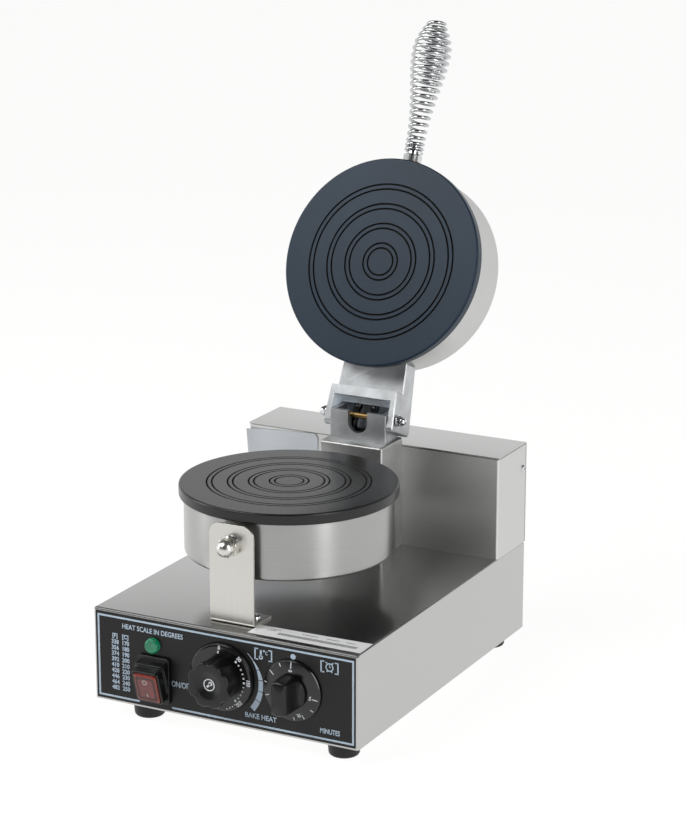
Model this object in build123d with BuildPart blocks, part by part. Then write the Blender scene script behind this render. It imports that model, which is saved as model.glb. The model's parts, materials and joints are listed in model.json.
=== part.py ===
from build123d import *

import os
from math import cos, pi, radians, sin, sqrt

# Round waffle maker: a round lidded baker on a box base, in millimetres.
# X runs to the right, Y to the back and Z up. The origin is on the table, below the middle of the whole
# object with its lid open. The lid is modelled open, as it rests.

os.makedirs("parts", exist_ok=True)

# Housing
base_width = 241.0
base_height = 78.5
foot_height = 14.0
front_y = -182.0
sheet = 1.2
bend_radius = 2.0
flange_width = 14.0
rear_box_depth = 57.5
rear_box_height = 90.0
cover_seam = 0.5
foot_inset_left = 39.3
foot_inset_right = 22.7
foot_inset_y = 20.0
foot_top_radius = 13.4
foot_waist_radius = 12.4
foot_waist_height = 3.6
foot_shoulder_radius = 11.5
foot_shoulder_height = 1.1
foot_bottom_radius = 10.0
box_tab_depth = 14.0
vent_slot_length = 40.0
vent_slot_width = 4.0
vent_slot_pitch = 12.0
vent_slot_count = 7

# Baking plates and pans
plate_radius = 90.0
plate_thickness = 9.2
plate_edge_radius = 1.4
plate_rise = 93.4
wafer_gap = 2.0
ring_count = 4
ring_pitch = 16.8
ring_first_radius = 13.9
ring_width = 4.6
groove_width = 1.5
groove_depth = 0.8
spigot_height = 3.0
plate_overhang = 4.0
pan_depth = 48.0
pan_wall = 1.0
pan_corner = 2.5
heater_margin = 14.0
heater_gap_angle = 30.0
terminal_radius = 2.0
terminal_length = 12.0
insulation_margin = 14.0
heater_width = 8.0
heater_height = 8.0
sensor_radius = 3.0
sensor_length = 60.0
sensor_offset = 8.0
stud_depth = 26.3
passage_depth = 34.4
stud_radius = 4.0
stud_nut_flats = 13.0
stud_nut_height = 5.0
stud_reach = 2.0

# Front bracket
bracket_width = 40.0
bracket_sheet = 2.0
bracket_front_distance = 15.0
bracket_pan_gap = 7.0
bracket_height = 83.5
bracket_corner_radius = 10.0
bracket_foot_length = 28.0
bracket_bend_radius = 3.5
bracket_screw_spacing = 22.0
bracket_screw_radius = 2.5
bracket_screw_head_radius = 4.5
bracket_screw_head_height = 2.6
bracket_screw_distance = 18.0
bracket_screw_length = 8.0
bracket_washer_radius = 8.0
bracket_washer_thickness = 1.6
dome_nut_flats = 13.0
dome_nut_hex_height = 6.5
dome_nut_radius = 6.2
dome_nut_height = 15.4
dome_steps = 3

# Pedestal, hinge block and hinge pin
pedestal_width = 59.5
pedestal_sheet = 1.5
pedestal_depth = 39.0
pedestal_height = 96.0
pedestal_bend_radius = 1.8
carrier_radius = 8.0
carrier_bore = 6.0
carrier_nut_flats = 22.0
carrier_nut_height = 3.0
pedestal_flange_width = 10.0
hinge_pan_gap = 44.5
hinge_pedestal_distance = 23.0
hinge_rise = 115.4
block_width = 53.0
block_front_offset = 10.0
block_back_offset = 14.0
block_top_offset = 5.6
block_wall = 4.5
block_notch_width = 18.3
block_notch_sill = 6.5
block_floor = 4.5
block_edge_radius = 0.8
pin_radius = 2.5
hinge_nut_flats = 8.0
hinge_nut_hex_height = 3.2
hinge_nut_height = 7.0
hinge_nut_dome_radius = 3.7
hinge_washer_radius = 5.0
hinge_washer_thickness = 0.8

# Lid arm, measured from the hinge axis in the lid's own frame
lid_open_angle = 112.5
arm_end_width = 66.0
arm_pan_width = 60.0
arm_cavity_width = 54.0
arm_end = 11.0
arm_step = -23.5
arm_window_top = -15.5
arm_stop_face = -10.8
arm_frame_front = -7.4
arm_body_front = 5.6
arm_end_back = 28.5
arm_pan_back = 23.6
arm_cavity_back = 21.5
arm_corner_radius = 4.0
arm_duct_front = 9.4
arm_duct_back = 19.4
arm_stop_front = 8.0
arm_edge = 1.0
arm_screw_spacing = 44.0
arm_screw_radius = 2.5
arm_screw_head_radius = 4.5
arm_screw_head_height = 2.5
arm_screw_length = 12.0

# Leads through the hinge
lead_radius = 3.6
lead_sides = 8
lead_left_x = -12.5
lead_right_x = 3.5
lead_behind_pin = 7.0
lead_clearance = 1.0
lead_bend_radius = 12.0
lead_bend_start = -7.5
lead_bend_end = -7.5
lead_end_in_pan = 6.0
lead_end_in_base = 12.0

# Handle
handle_bush_radius = 7.0
handle_bush_length = 5.6
handle_washer_radius = 7.6
handle_washer_thickness = 1.2
ferrule_flats = 13.8
ferrule_height = 6.6
ferrule_spigot_length = 10.0
coil_wire_radius = 1.5
coil_turns = 20.0
coil_pitch = 6.2
coil_base_pitch = 3.15
coil_tip_pitch = 4.2
coil_base_turns = 4.0
coil_tip_turns = 3.0
coil_base_radius = 6.9
coil_widest_radius = 15.8
coil_tip_radius = 6.5
coil_widest_share = 0.775
coil_swell = 1.33
coil_wire_sides = 6
coil_steps_per_turn = 200

# Controls on the front panel
overlay_thickness = 0.6
overlay_margin = 2.3
overlay_bottom_margin = 1.6
knob_rise = 40.3
timer_inset = 57.2
lamp_inset = 56.5
lamp_rise = 55.0
switch_inset = 57.8
switch_rise = 27.0
dial_gap = 0.8
dial_thickness = 3.4
dial_bore = 6.0
thermostat_dial_radius = 28.4
timer_dial_radius = 25.5
thermostat_knob_radius = 17.5
thermostat_knob_front_radius = 19.2
thermostat_knob_length = 19.7
thermostat_knob_straight = 5.0
knob_dimple_radius = 11.0
knob_dimple_floor_radius = 4.0
knob_dimple_depth = 2.6
knob_lobe_count = 8
knob_lobe_radius = 7.0
knob_pointer_angle = -135.0
knob_pointer_width = 1.6
knob_pointer_depth = 0.8
knob_edge = 1.0
timer_knob_radius = 14.0
timer_knob_length = 19.9
timer_bar_front_width = 12.0
timer_bar_base_width = 22.0
timer_bar_start = 2.5
shaft_radius = 3.0
shaft_flat_depth = 0.8
shaft_in_knob = 12.0
shaft_in_body = 14.0
bush_radius = 4.8
control_body_width = 38.0
control_body_depth = 26.0
timer_bell_radius = 14.0
timer_bell_depth = 10.0
lamp_lens_radius = 6.6
lamp_lens_length = 4.4
lamp_body_radius = 5.0
lamp_body_length = 24.0
lamp_lens_edge = 1.0
lamp_collar_radius = 7.0
lamp_collar_thickness = 1.5
boot_width = 29.0
boot_height = 39.0
boot_thickness = 4.0
boot_corner_radius = 2.5
boot_collar_corner_radius = 3.5
boot_collar_wall = 1.8
boot_collar_reach = 20.6
boot_step_wall = 3.4
boot_step_reach = 13.0
rocker_width = 20.6
rocker_height = 25.7
rocker_thickness = 6.0
rocker_pivot_depth = 7.0
rocker_reach = 22.0
rocker_lift = 2.3
rocker_tilt = 16.5
rocker_stem_height = 9.0
rocker_stem_width = 16.0
rocker_hub_radius = 3.2
rocker_pin_radius = 1.5
rocker_pin_length = 20.8
rocker_corner_radius = 2.2
rocker_edge = 0.8
switch_body_width = 21.6
switch_body_height = 29.6
switch_body_depth = 24.0
switch_body_wall = 1.6
switch_body_floor = 4.0
switch_tab_count = 4
switch_tab_width = 6.3
switch_tab_thickness = 0.8
switch_tab_length = 9.0
switch_tab_pitch = 6.5

# Terminal block and cable gland
terminal_block_width = 42.0
terminal_block_depth = 22.0
terminal_block_height = 20.0
terminal_block_step = 7.0
terminal_block_inset = 60.0
terminal_post_radius = 3.0
terminal_post_height = 4.0
terminal_post_count = 3
terminal_post_pitch = 13.0
box_wire_hole_radius = 12.0
gland_inset = 50.5
gland_rise = 27.5
gland_bore = 4.5
gland_thread_radius = 8.0
gland_hex_flats = 22.0
gland_hex_height = 6.0
gland_cap_radius = 10.0
gland_cap_height = 9.0
gland_inner_nut_height = 4.0
gland_inner_length = 8.0
gland_cap_edge = 2.0

# Clearances
fit = 0.05
gap = 0.3
play = 0.5
screw_clearance = 0.4

# Heights and distances that follow from the sizes above
base_bottom = foot_height
base_top = base_bottom + base_height
plate_top_height = base_top + plate_rise
bracket_top_height = base_top + bracket_height
pedestal_top_height = base_top + pedestal_height
hinge_height = base_top + hinge_rise
knob_height = base_bottom + knob_rise
lamp_height = base_bottom + lamp_rise
switch_height = base_bottom + switch_rise
gland_height = base_bottom + gland_rise
pan_radius = plate_radius - plate_overhang
insulation_radius = pan_radius - insulation_margin
heater_ring_radius = insulation_radius - heater_margin
bracket_y = front_y + bracket_front_distance
plate_y = bracket_y + bracket_sheet + bracket_pan_gap + pan_radius
hinge_y = plate_y + pan_radius + hinge_pan_gap
pedestal_front_y = hinge_y - hinge_pedestal_distance
rear_box_front_y = pedestal_front_y + pedestal_depth
rear_box_top = base_top + rear_box_height
rear_y = rear_box_front_y + rear_box_depth
base_depth = rear_y - front_y
timer_x = base_width / 2 - timer_inset
lamp_x = lamp_inset - base_width / 2
switch_x = switch_inset - base_width / 2
gland_x = base_width / 2 - gland_inset
floor_top = base_bottom + sheet

# Frames: the lower face looks down into its pan, and the lid's frame turns with the lid
open_sin = sin(radians(lid_open_angle))
open_cos = cos(radians(lid_open_angle))
lid = Plane(origin=(0, hinge_y, hinge_height), x_dir=(1, 0, 0), z_dir=(0, open_sin, open_cos))
lid_face_drop = plate_top_height + wafer_gap - hinge_height
lid_reach = hinge_y - plate_y
lower_face = Plane(origin=(0, plate_y, plate_top_height), x_dir=(-1, 0, 0), z_dir=(0, 0, -1))
upper_face_centre = lid.from_local_coords((0, -lid_reach, lid_face_drop))
upper_face = Plane(origin=upper_face_centre, x_dir=lid.x_dir, z_dir=lid.z_dir)
lid_side = Plane(origin=lid.origin, x_dir=lid.y_dir, z_dir=lid.x_dir)
front = Plane(origin=(0, front_y, 0), x_dir=(1, 0, 0), z_dir=(0, -1, 0))
side = Plane(origin=(0, 0, 0), x_dir=(0, 1, 0), z_dir=(1, 0, 0))


def in_face(face, x, y, depth):
    """A point given in a baking face's own frame."""
    return face.from_local_coords((x, y, depth))


def face_direction(face, x, y):
    """A direction given in a baking face's own plane."""
    return face.x_dir * x + face.y_dir * y


def chord_drop(radius, half_width):
    """How far a circle has left its tangent at a distance along that tangent."""
    return radius - sqrt(radius**2 - half_width**2)


def section_of(face):
    """The plane that holds a baking face's axis: local X is the radius and local Y the depth."""
    return Plane(origin=face.origin, x_dir=face.x_dir, z_dir=-face.y_dir)


def save(piece, name):
    """Labels a finished piece and writes it."""
    piece.label = name
    export_step(piece, f"parts/{name}.step")


def rod(plane, radius, length):
    """A round bar that starts on a plane and runs along its normal."""
    with BuildPart() as bar:
        with BuildSketch(plane):
            Circle(radius)
        extrude(amount=length)
    return bar.part


def ring(plane, radius, bore, length):
    """A washer, bush or tube that starts on a plane."""
    with BuildPart() as tube:
        with BuildSketch(plane):
            Circle(radius)
            Circle(bore, mode=Mode.SUBTRACT)
        extrude(amount=length)
    return tube.part


def hex_nut(plane, flats, height, bore):
    """A plain hexagon nut."""
    with BuildPart() as nut:
        with BuildSketch(plane):
            RegularPolygon(flats / 2, 6, major_radius=False)
            Circle(bore, mode=Mode.SUBTRACT)
        extrude(amount=height)
    return nut.part


def dome_nut(plane, flats, hex_height, dome_radius, height, bore):
    """A hexagon nut closed by a dome, bored to just short of the dome's top."""
    with BuildPart() as nut:
        with BuildSketch(plane):
            RegularPolygon(flats / 2, 6, major_radius=False)
        extrude(amount=hex_height)
        with BuildSketch(plane.offset(hex_height)):
            Circle(dome_radius)
        extrude(amount=height - hex_height - dome_radius)
        dome_plane = plane.offset(height - dome_radius)
        dome_points = [
            (dome_radius * cos(pi / 2 * step / dome_steps), dome_radius * sin(pi / 2 * step / dome_steps))
            for step in range(dome_steps)
        ]
        with BuildSketch(Plane(origin=dome_plane.origin, x_dir=plane.x_dir, z_dir=-plane.y_dir)):
            with BuildLine():
                Polyline((0, 0), *dome_points, (0, dome_radius), close=True)
            make_face()
        revolve(axis=Axis(dome_plane.origin, plane.z_dir))
        with BuildSketch(plane):
            Circle(bore)
        extrude(amount=height - dome_radius, mode=Mode.SUBTRACT)
    return nut.part


def screw(plane, radius, length, head_radius, head_height):
    """A screw: its head stands on the plane and its shank goes below it."""
    with BuildPart() as bolt:
        with BuildSketch(plane):
            Circle(head_radius)
        extrude(amount=head_height)
        with BuildSketch(plane):
            Circle(radius)
        extrude(amount=-length)
    return bolt.part


def folded_box(width, y_low, y_high, z_low, z_high, radius):
    """A closed box with its upright and top edges rounded."""
    with BuildPart() as block:
        with BuildSketch(Plane.XY.offset(z_low)):
            with Locations((0, (y_low + y_high) / 2)):
                Rectangle(width, y_high - y_low)
        extrude(amount=z_high - z_low)
        top_edges = block.faces().sort_by(Axis.Z)[-1].edges()
        fillet(block.edges().filter_by(Axis.Z) + top_edges, radius)
    return block.part


def slab(x_low, x_high, y_low, y_high, z_low, z_high):
    """A plain block between two corners."""
    with BuildPart() as block:
        with BuildSketch(Plane.XY.offset(z_low)):
            with Locations(((x_low + x_high) / 2, (y_low + y_high) / 2)):
                Rectangle(x_high - x_low, y_high - y_low)
        extrude(amount=z_high - z_low)
    return block.part


# Baking plates
spigot_depth = plate_thickness + spigot_height
insulation_depth = spigot_depth + heater_height
pan_floor_depth = plate_thickness + pan_depth
pan_inner_radius = pan_radius - pan_wall
spigot_radius = pan_inner_radius - fit
pan_bend = pan_wall * (sqrt(2) - 1)


def build_plate(face):
    """A cast baking plate with double rings of V grooves, a chamfered rim and a spigot that fits the pan."""
    groove_points = []
    for ring_index in range(ring_count):
        ring_radius = ring_first_radius + ring_index * ring_pitch
        for groove_radius in (ring_radius - ring_width / 2, ring_radius + ring_width / 2):
            groove_points.append((groove_radius - groove_width / 2, 0))
            groove_points.append((groove_radius, groove_depth))
            groove_points.append((groove_radius + groove_width / 2, 0))
    with BuildPart() as plate:
        with BuildSketch(section_of(face)):
            with BuildLine():
                Polyline(
                    (0, 0),
                    *groove_points,
                    (plate_radius - plate_edge_radius, 0),
                    (plate_radius, plate_edge_radius),
                    (plate_radius, plate_thickness - plate_edge_radius),
                    (plate_radius - plate_edge_radius, plate_thickness),
                    (spigot_radius, plate_thickness),
                    (spigot_radius, spigot_depth),
                    (0, spigot_depth),
                    close=True,
                )
            make_face()
        revolve(axis=Axis(face.origin, face.z_dir))
    return plate.part


def build_pan(face):
    """A drawn sheet pan whose floor meets its wall at a broken corner."""
    with BuildPart() as pan:
        with BuildSketch(section_of(face)):
            with BuildLine():
                Polyline(
                    (pan_radius, plate_thickness),
                    (pan_radius, pan_floor_depth - pan_corner),
                    (pan_radius - pan_corner, pan_floor_depth),
                    (0, pan_floor_depth),
                    (0, pan_floor_depth - pan_wall),
                    (pan_radius - pan_corner - pan_bend, pan_floor_depth - pan_wall),
                    (pan_inner_radius, pan_floor_depth - pan_corner - pan_bend),
                    (pan_inner_radius, plate_thickness),
                    close=True,
                )
            make_face()
        revolve(axis=Axis(face.origin, face.z_dir))
    return pan.part


def build_heater(face):
    """An open ring of flattened heater tube on the back of a plate, with a terminal pin at each end."""
    half_gap = radians(heater_gap_angle / 2)
    wedge_reach = 2 * heater_ring_radius
    with BuildPart() as heater:
        with BuildSketch(face.offset(spigot_depth)):
            Circle(heater_ring_radius + heater_width / 2)
            Circle(heater_ring_radius - heater_width / 2, mode=Mode.SUBTRACT)
            with BuildLine():
                Polyline(
                    (0, 0),
                    (-wedge_reach * sin(half_gap), wedge_reach * cos(half_gap)),
                    (wedge_reach * sin(half_gap), wedge_reach * cos(half_gap)),
                    close=True,
                )
            make_face(mode=Mode.SUBTRACT)
        extrude(amount=heater_height)
        for sign in (-1, 1):
            end_x = sign * heater_ring_radius * sin(half_gap)
            end_y = heater_ring_radius * cos(half_gap)
            end = in_face(face, end_x, end_y, spigot_depth + heater_height / 2)
            outward = face_direction(face, -sign * cos(half_gap), sin(half_gap))
            add(rod(Plane(origin=end, z_dir=outward), terminal_radius, terminal_length))
    return heater.part


with BuildPart() as lower_baking_plate:
    add(build_plate(lower_face))
save(lower_baking_plate.part, "lower_baking_plate")

with BuildPart() as upper_baking_plate:
    add(build_plate(upper_face))
save(upper_baking_plate.part, "upper_baking_plate")

save(build_heater(lower_face), "lower_heating_element")
save(build_heater(upper_face), "upper_heating_element")
insulation_height = pan_floor_depth - pan_wall - insulation_depth
for face, name in ((lower_face, "lower_insulation"), (upper_face, "upper_insulation")):
    save(rod(face.offset(insulation_depth), insulation_radius, insulation_height), name)

sensor_start = in_face(lower_face, -sensor_length / 2, sensor_offset, spigot_depth + sensor_radius)
sensor_plane = Plane(origin=sensor_start, z_dir=lower_face.x_dir)
save(rod(sensor_plane, sensor_radius, sensor_length), "temperature_sensor")

# Pans, with the holes for what carries them
lead_middle_x = (lead_left_x + lead_right_x) / 2
lead_slot_width = 2 * (lead_radius + lead_clearance)
lead_slot_length = lead_right_x - lead_left_x + lead_slot_width
duct_depth = (arm_duct_front + arm_duct_back) / 2
duct_height = arm_duct_back - arm_duct_front
duct_plane = Plane(
    origin=lid.from_local_coords((lead_middle_x, arm_stop_face, duct_depth)),
    x_dir=lid.x_dir,
    z_dir=-lid.y_dir,
)
duct_length = lid_reach - pan_inner_radius + arm_stop_face + 2 * pan_corner
stud_hole_radius = stud_radius + screw_clearance


def stud_plane(face):
    """Where a pan's front stud leaves the pan's wall, facing outward."""
    origin = in_face(face, 0, -pan_radius, stud_depth)
    return Plane(origin=origin, x_dir=face.x_dir, z_dir=-face.y_dir)


def arm_screw_seat(sign):
    """The place on the inside of the upper pan's wall where an arm screw's head lies."""
    across = sign * arm_screw_spacing / 2
    share_x = across / pan_inner_radius
    share_y = sqrt(1 - share_x**2)
    reach = pan_inner_radius - chord_drop(pan_inner_radius, arm_screw_head_radius)
    origin = in_face(upper_face, reach * share_x, reach * share_y, passage_depth)
    return Plane(origin=origin, z_dir=-face_direction(upper_face, share_x, share_y))


with BuildPart() as lower_pan:
    add(build_pan(lower_face))
    with BuildSketch(stud_plane(lower_face)):
        Circle(stud_hole_radius)
    extrude(amount=-pan_corner, mode=Mode.SUBTRACT)
    carrier_hole_centre = in_face(lower_face, 0, pan_radius, passage_depth)
    with BuildSketch(Plane(origin=carrier_hole_centre, z_dir=lower_face.y_dir)):
        Circle(carrier_radius + fit)
    extrude(amount=-pan_corner, mode=Mode.SUBTRACT)
save(lower_pan.part, "lower_pan")

with BuildPart() as upper_pan:
    add(build_pan(upper_face))
    with BuildSketch(stud_plane(upper_face)):
        Circle(stud_hole_radius)
    extrude(amount=-pan_corner, mode=Mode.SUBTRACT)
    with BuildSketch(duct_plane):
        SlotOverall(lead_slot_length, duct_height)
    extrude(amount=duct_length, mode=Mode.SUBTRACT)
    for sign in (-1, 1):
        with BuildSketch(arm_screw_seat(sign)):
            Circle(arm_screw_radius + screw_clearance)
        extrude(amount=-pan_corner, mode=Mode.SUBTRACT)
save(upper_pan.part, "upper_pan")

# Front bracket
bracket_stud_height = plate_top_height - stud_depth
bracket_screw_y = bracket_y + bracket_screw_distance

with BuildPart() as front_bracket:
    with BuildSketch(side) as bracket_profile:
        with BuildLine():
            Polyline(
                (bracket_y, base_top),
                (bracket_y, bracket_top_height),
                (bracket_y + bracket_sheet, bracket_top_height),
                (bracket_y + bracket_sheet, base_top + bracket_sheet),
                (bracket_y + bracket_foot_length, base_top + bracket_sheet),
                (bracket_y + bracket_foot_length, base_top),
                close=True,
            )
        make_face()
        outer_bend = (bracket_y, base_top)
        inner_bend = (bracket_y + bracket_sheet, base_top + bracket_sheet)
        fillet(bracket_profile.vertices().sort_by_distance(outer_bend)[0], bracket_bend_radius)
        inner_bend_radius = bracket_bend_radius - bracket_sheet
        fillet(bracket_profile.vertices().sort_by_distance(inner_bend)[0], inner_bend_radius)
    extrude(amount=bracket_width / 2, both=True)
    fillet(front_bracket.edges().filter_by(Axis.Y).group_by(Axis.Z)[-1], bracket_corner_radius)
    with BuildSketch(Plane(origin=(0, bracket_y, bracket_stud_height), z_dir=(0, 1, 0))):
        Circle(stud_hole_radius)
    extrude(amount=bracket_sheet, mode=Mode.SUBTRACT)
    with BuildSketch(Plane.XY.offset(base_top)):
        with Locations((0, bracket_screw_y)):
            with GridLocations(bracket_screw_spacing, 0, 2, 1):
                Circle(bracket_screw_radius + screw_clearance)
    extrude(amount=bracket_sheet, mode=Mode.SUBTRACT)
save(front_bracket.part, "front_bracket")

bracket_face = Plane(origin=(0, bracket_y, bracket_stud_height), x_dir=(1, 0, 0), z_dir=(0, -1, 0))
bracket_washer_face = bracket_face.offset(bracket_washer_thickness)
stud_nut_seat = pan_inner_radius - chord_drop(pan_inner_radius, stud_nut_flats / sqrt(3))
bracket_stud_front = bracket_washer_thickness + dome_nut_height - dome_nut_radius
bracket_stud_back = plate_y - stud_nut_seat + stud_nut_height + stud_reach - bracket_y
bracket_stud_end = bracket_face.offset(-bracket_stud_back)
save(rod(bracket_stud_end, stud_radius, bracket_stud_back + bracket_stud_front - play), "bracket_stud")
save(
    ring(bracket_face, bracket_washer_radius, stud_radius + fit, bracket_washer_thickness),
    "bracket_washer",
)
save(
    dome_nut(
        bracket_washer_face,
        dome_nut_flats,
        dome_nut_hex_height,
        dome_nut_radius,
        dome_nut_height,
        stud_radius + fit,
    ),
    "bracket_dome_nut",
)
spacer_plane = Plane(origin=(0, bracket_y + bracket_sheet, bracket_stud_height), z_dir=(0, 1, 0))


def inner_stud_nut(face):
    """The nut inside a pan that pulls its front stud tight."""
    origin = in_face(face, 0, -stud_nut_seat, stud_depth)
    return hex_nut(
        Plane(origin=origin, x_dir=face.x_dir, z_dir=face.y_dir),
        stud_nut_flats,
        stud_nut_height,
        stud_radius + fit,
    )


spacer_nut = hex_nut(spacer_plane, stud_nut_flats, bracket_pan_gap, stud_radius + fit)
save(Compound([spacer_nut, inner_stud_nut(lower_face)]), "bracket_nuts")
bracket_screw_set = []
for screw_x in (-bracket_screw_spacing / 2, bracket_screw_spacing / 2):
    bracket_screw_set.append(
        screw(
            Plane(origin=(screw_x, bracket_screw_y, base_top + bracket_sheet), z_dir=(0, 0, 1)),
            bracket_screw_radius,
            bracket_screw_length,
            bracket_screw_head_radius,
            bracket_screw_head_height,
        )
    )
save(Compound(bracket_screw_set), "bracket_screws")

# Pedestal
pedestal_half = pedestal_width / 2
carrier_height = plate_top_height - passage_depth
lead_y = hinge_y + lead_behind_pin

with BuildPart() as hinge_pedestal:
    add(
        folded_box(
            pedestal_width,
            pedestal_front_y,
            rear_box_front_y + 2 * pedestal_bend_radius,
            base_top,
            pedestal_top_height,
            pedestal_bend_radius,
        )
    )
    split(bisect_by=Plane(origin=(0, rear_box_front_y, 0), z_dir=(0, -1, 0)))
    add(
        slab(
            -pedestal_half + pedestal_sheet,
            pedestal_half - pedestal_sheet,
            pedestal_front_y + pedestal_sheet,
            rear_box_front_y,
            base_top + pedestal_sheet,
            pedestal_top_height - pedestal_sheet,
        ),
        mode=Mode.SUBTRACT,
    )
    add(
        slab(
            -pedestal_half + pedestal_sheet + pedestal_flange_width,
            pedestal_half - pedestal_sheet - pedestal_flange_width,
            pedestal_front_y + pedestal_sheet,
            rear_box_front_y,
            base_top,
            base_top + pedestal_sheet,
        ),
        mode=Mode.SUBTRACT,
    )
    with BuildSketch(Plane(origin=(0, pedestal_front_y, carrier_height), z_dir=(0, 1, 0))):
        Circle(carrier_radius + fit)
    extrude(amount=pedestal_sheet, mode=Mode.SUBTRACT)
    with BuildSketch(Plane.XY.offset(pedestal_top_height)):
        with Locations((lead_middle_x, lead_y)):
            SlotOverall(lead_slot_length, lead_slot_width)
    extrude(amount=-pedestal_sheet, mode=Mode.SUBTRACT)
save(hinge_pedestal.part, "hinge_pedestal")

# Carrier tube between the lower pan and the pedestal
carrier_pan_seat = plate_y + pan_inner_radius - chord_drop(pan_inner_radius, carrier_nut_flats / sqrt(3))
carrier_start = carrier_pan_seat - carrier_nut_height - stud_reach
carrier_end = pedestal_front_y + pedestal_sheet + carrier_nut_height + stud_reach
carrier_plane = Plane(origin=(0, carrier_start, carrier_height), z_dir=(0, 1, 0))
save(ring(carrier_plane, carrier_radius, carrier_bore, carrier_end - carrier_start), "pan_carrier_tube")
carrier_nut_set = []
for nut_y in (
    carrier_pan_seat - carrier_nut_height,
    plate_y + pan_radius,
    pedestal_front_y - carrier_nut_height,
    pedestal_front_y + pedestal_sheet,
):
    nut_plane = Plane(origin=(0, nut_y, carrier_height), x_dir=(1, 0, 0), z_dir=(0, 1, 0))
    carrier_nut_set.append(hex_nut(nut_plane, carrier_nut_flats, carrier_nut_height, carrier_radius + fit))
save(Compound(carrier_nut_set), "carrier_nuts")

# Hinge block
block_top_height = hinge_height + block_top_offset
block_front_y = hinge_y - block_front_offset
block_back_y = hinge_y + block_back_offset
block_half = block_width / 2

with BuildPart() as hinge_block:
    add(slab(-block_half, block_half, block_front_y, block_back_y, pedestal_top_height, block_top_height))
    fillet(hinge_block.edges().filter_by(Axis.Z), block_edge_radius)
    add(
        slab(
            -block_half + block_wall,
            block_half - block_wall,
            block_front_y + block_wall,
            block_back_y,
            pedestal_top_height + block_floor,
            block_top_height,
        ),
        mode=Mode.SUBTRACT,
    )
    with BuildSketch(Plane(origin=(0, block_front_y, 0), x_dir=(1, 0, 0), z_dir=(0, -1, 0))) as notch:
        notch_sill = pedestal_top_height + block_notch_sill
        notch_arc_height = notch_sill + block_notch_width / 2
        with Locations((0, notch_arc_height)):
            Circle(block_notch_width / 2)
        with Locations((0, notch_arc_height)):
            Rectangle(block_notch_width, block_top_height - notch_arc_height, align=(Align.CENTER, Align.MIN))
    extrude(amount=-block_wall, mode=Mode.SUBTRACT)
    with BuildSketch(side):
        with Locations((hinge_y, hinge_height)):
            Circle(pin_radius + fit)
    extrude(amount=block_half, both=True, mode=Mode.SUBTRACT)
    with BuildSketch(Plane.XY.offset(pedestal_top_height)):
        with Locations((lead_middle_x, lead_y)):
            SlotOverall(lead_slot_length, lead_slot_width)
    extrude(amount=block_floor, mode=Mode.SUBTRACT)
save(hinge_block.part, "hinge_block")

# Hinge pin, with a washer and a dome nut outside each cheek of the arm
washer_x = arm_end_width / 2 + gap
nut_x = washer_x + hinge_washer_thickness
pin_half = nut_x + hinge_nut_height - hinge_nut_dome_radius
pin_plane = Plane(origin=(-pin_half, hinge_y, hinge_height), z_dir=(1, 0, 0))
save(rod(pin_plane, pin_radius, 2 * pin_half), "hinge_pin")
hinge_washer_set = []
hinge_nut_set = []
for sign in (-1, 1):
    outward = (sign, 0, 0)
    washer_plane = Plane(origin=(sign * washer_x, hinge_y, hinge_height), x_dir=(0, 1, 0), z_dir=outward)
    hinge_washer_set.append(ring(washer_plane, hinge_washer_radius, pin_radius + fit, hinge_washer_thickness))
    hinge_nut_set.append(
        dome_nut(
            washer_plane.offset(hinge_washer_thickness),
            hinge_nut_flats,
            hinge_nut_hex_height,
            hinge_nut_dome_radius,
            hinge_nut_height,
            pin_radius + fit,
        )
    )
save(Compound(hinge_washer_set), "hinge_washers")
save(Compound(hinge_nut_set), "hinge_nuts")

# Lid arm
arm_pan_half = arm_pan_width / 2
arm_end_half = arm_end_width / 2
arm_root = pan_radius - chord_drop(pan_radius, arm_pan_half) - lid_reach

with BuildPart() as lid_arm:
    with BuildSketch(lid_side) as arm_profile:
        with BuildLine():
            Polyline(
                (arm_root, arm_body_front),
                (arm_step, arm_body_front),
                (arm_step, arm_frame_front),
                (arm_end, arm_frame_front),
                (arm_end, arm_end_back),
                (arm_root, arm_pan_back),
                close=True,
            )
        make_face()
        fillet(arm_profile.vertices().sort_by_distance((arm_end, arm_frame_front))[0], arm_corner_radius)
        fillet(arm_profile.vertices().sort_by_distance((arm_end, arm_end_back))[0], arm_corner_radius)
    extrude(amount=arm_end_half, both=True)
    with BuildSketch(lid.offset(arm_frame_front)):
        with BuildLine():
            Polyline(
                (-arm_end_half, arm_end),
                (arm_end_half, arm_end),
                (arm_pan_half, arm_root),
                (-arm_pan_half, arm_root),
                close=True,
            )
        make_face()
    extrude(amount=arm_end_back - arm_frame_front, mode=Mode.INTERSECT)
    chamfer(lid_arm.edges().filter_by(lambda e: abs(e.center().X) > arm_pan_half - fit), arm_edge)
    with BuildSketch(upper_face):
        Circle(pan_radius + fit)
    extrude(amount=pan_floor_depth, mode=Mode.SUBTRACT)
    with BuildSketch(lid_side):
        with BuildLine():
            Polyline(
                (arm_window_top, 2 * arm_frame_front),
                (2 * arm_end, 2 * arm_frame_front),
                (2 * arm_end, arm_cavity_back),
                (arm_stop_face, arm_cavity_back),
                (arm_stop_face, arm_stop_front),
                (arm_window_top, arm_stop_front),
                close=True,
            )
        make_face()
    extrude(amount=arm_cavity_width / 2, both=True, mode=Mode.SUBTRACT)
    with BuildSketch(lid_side):
        Circle(pin_radius + fit)
    extrude(amount=arm_end_half, both=True, mode=Mode.SUBTRACT)
    with BuildSketch(duct_plane):
        SlotOverall(lead_slot_length, duct_height)
    extrude(amount=duct_length, mode=Mode.SUBTRACT)
    for sign in (-1, 1):
        with BuildSketch(arm_screw_seat(sign)):
            Circle(arm_screw_radius + fit)
        extrude(amount=-arm_screw_length - play, mode=Mode.SUBTRACT)
save(lid_arm.part, "lid_arm")

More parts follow.
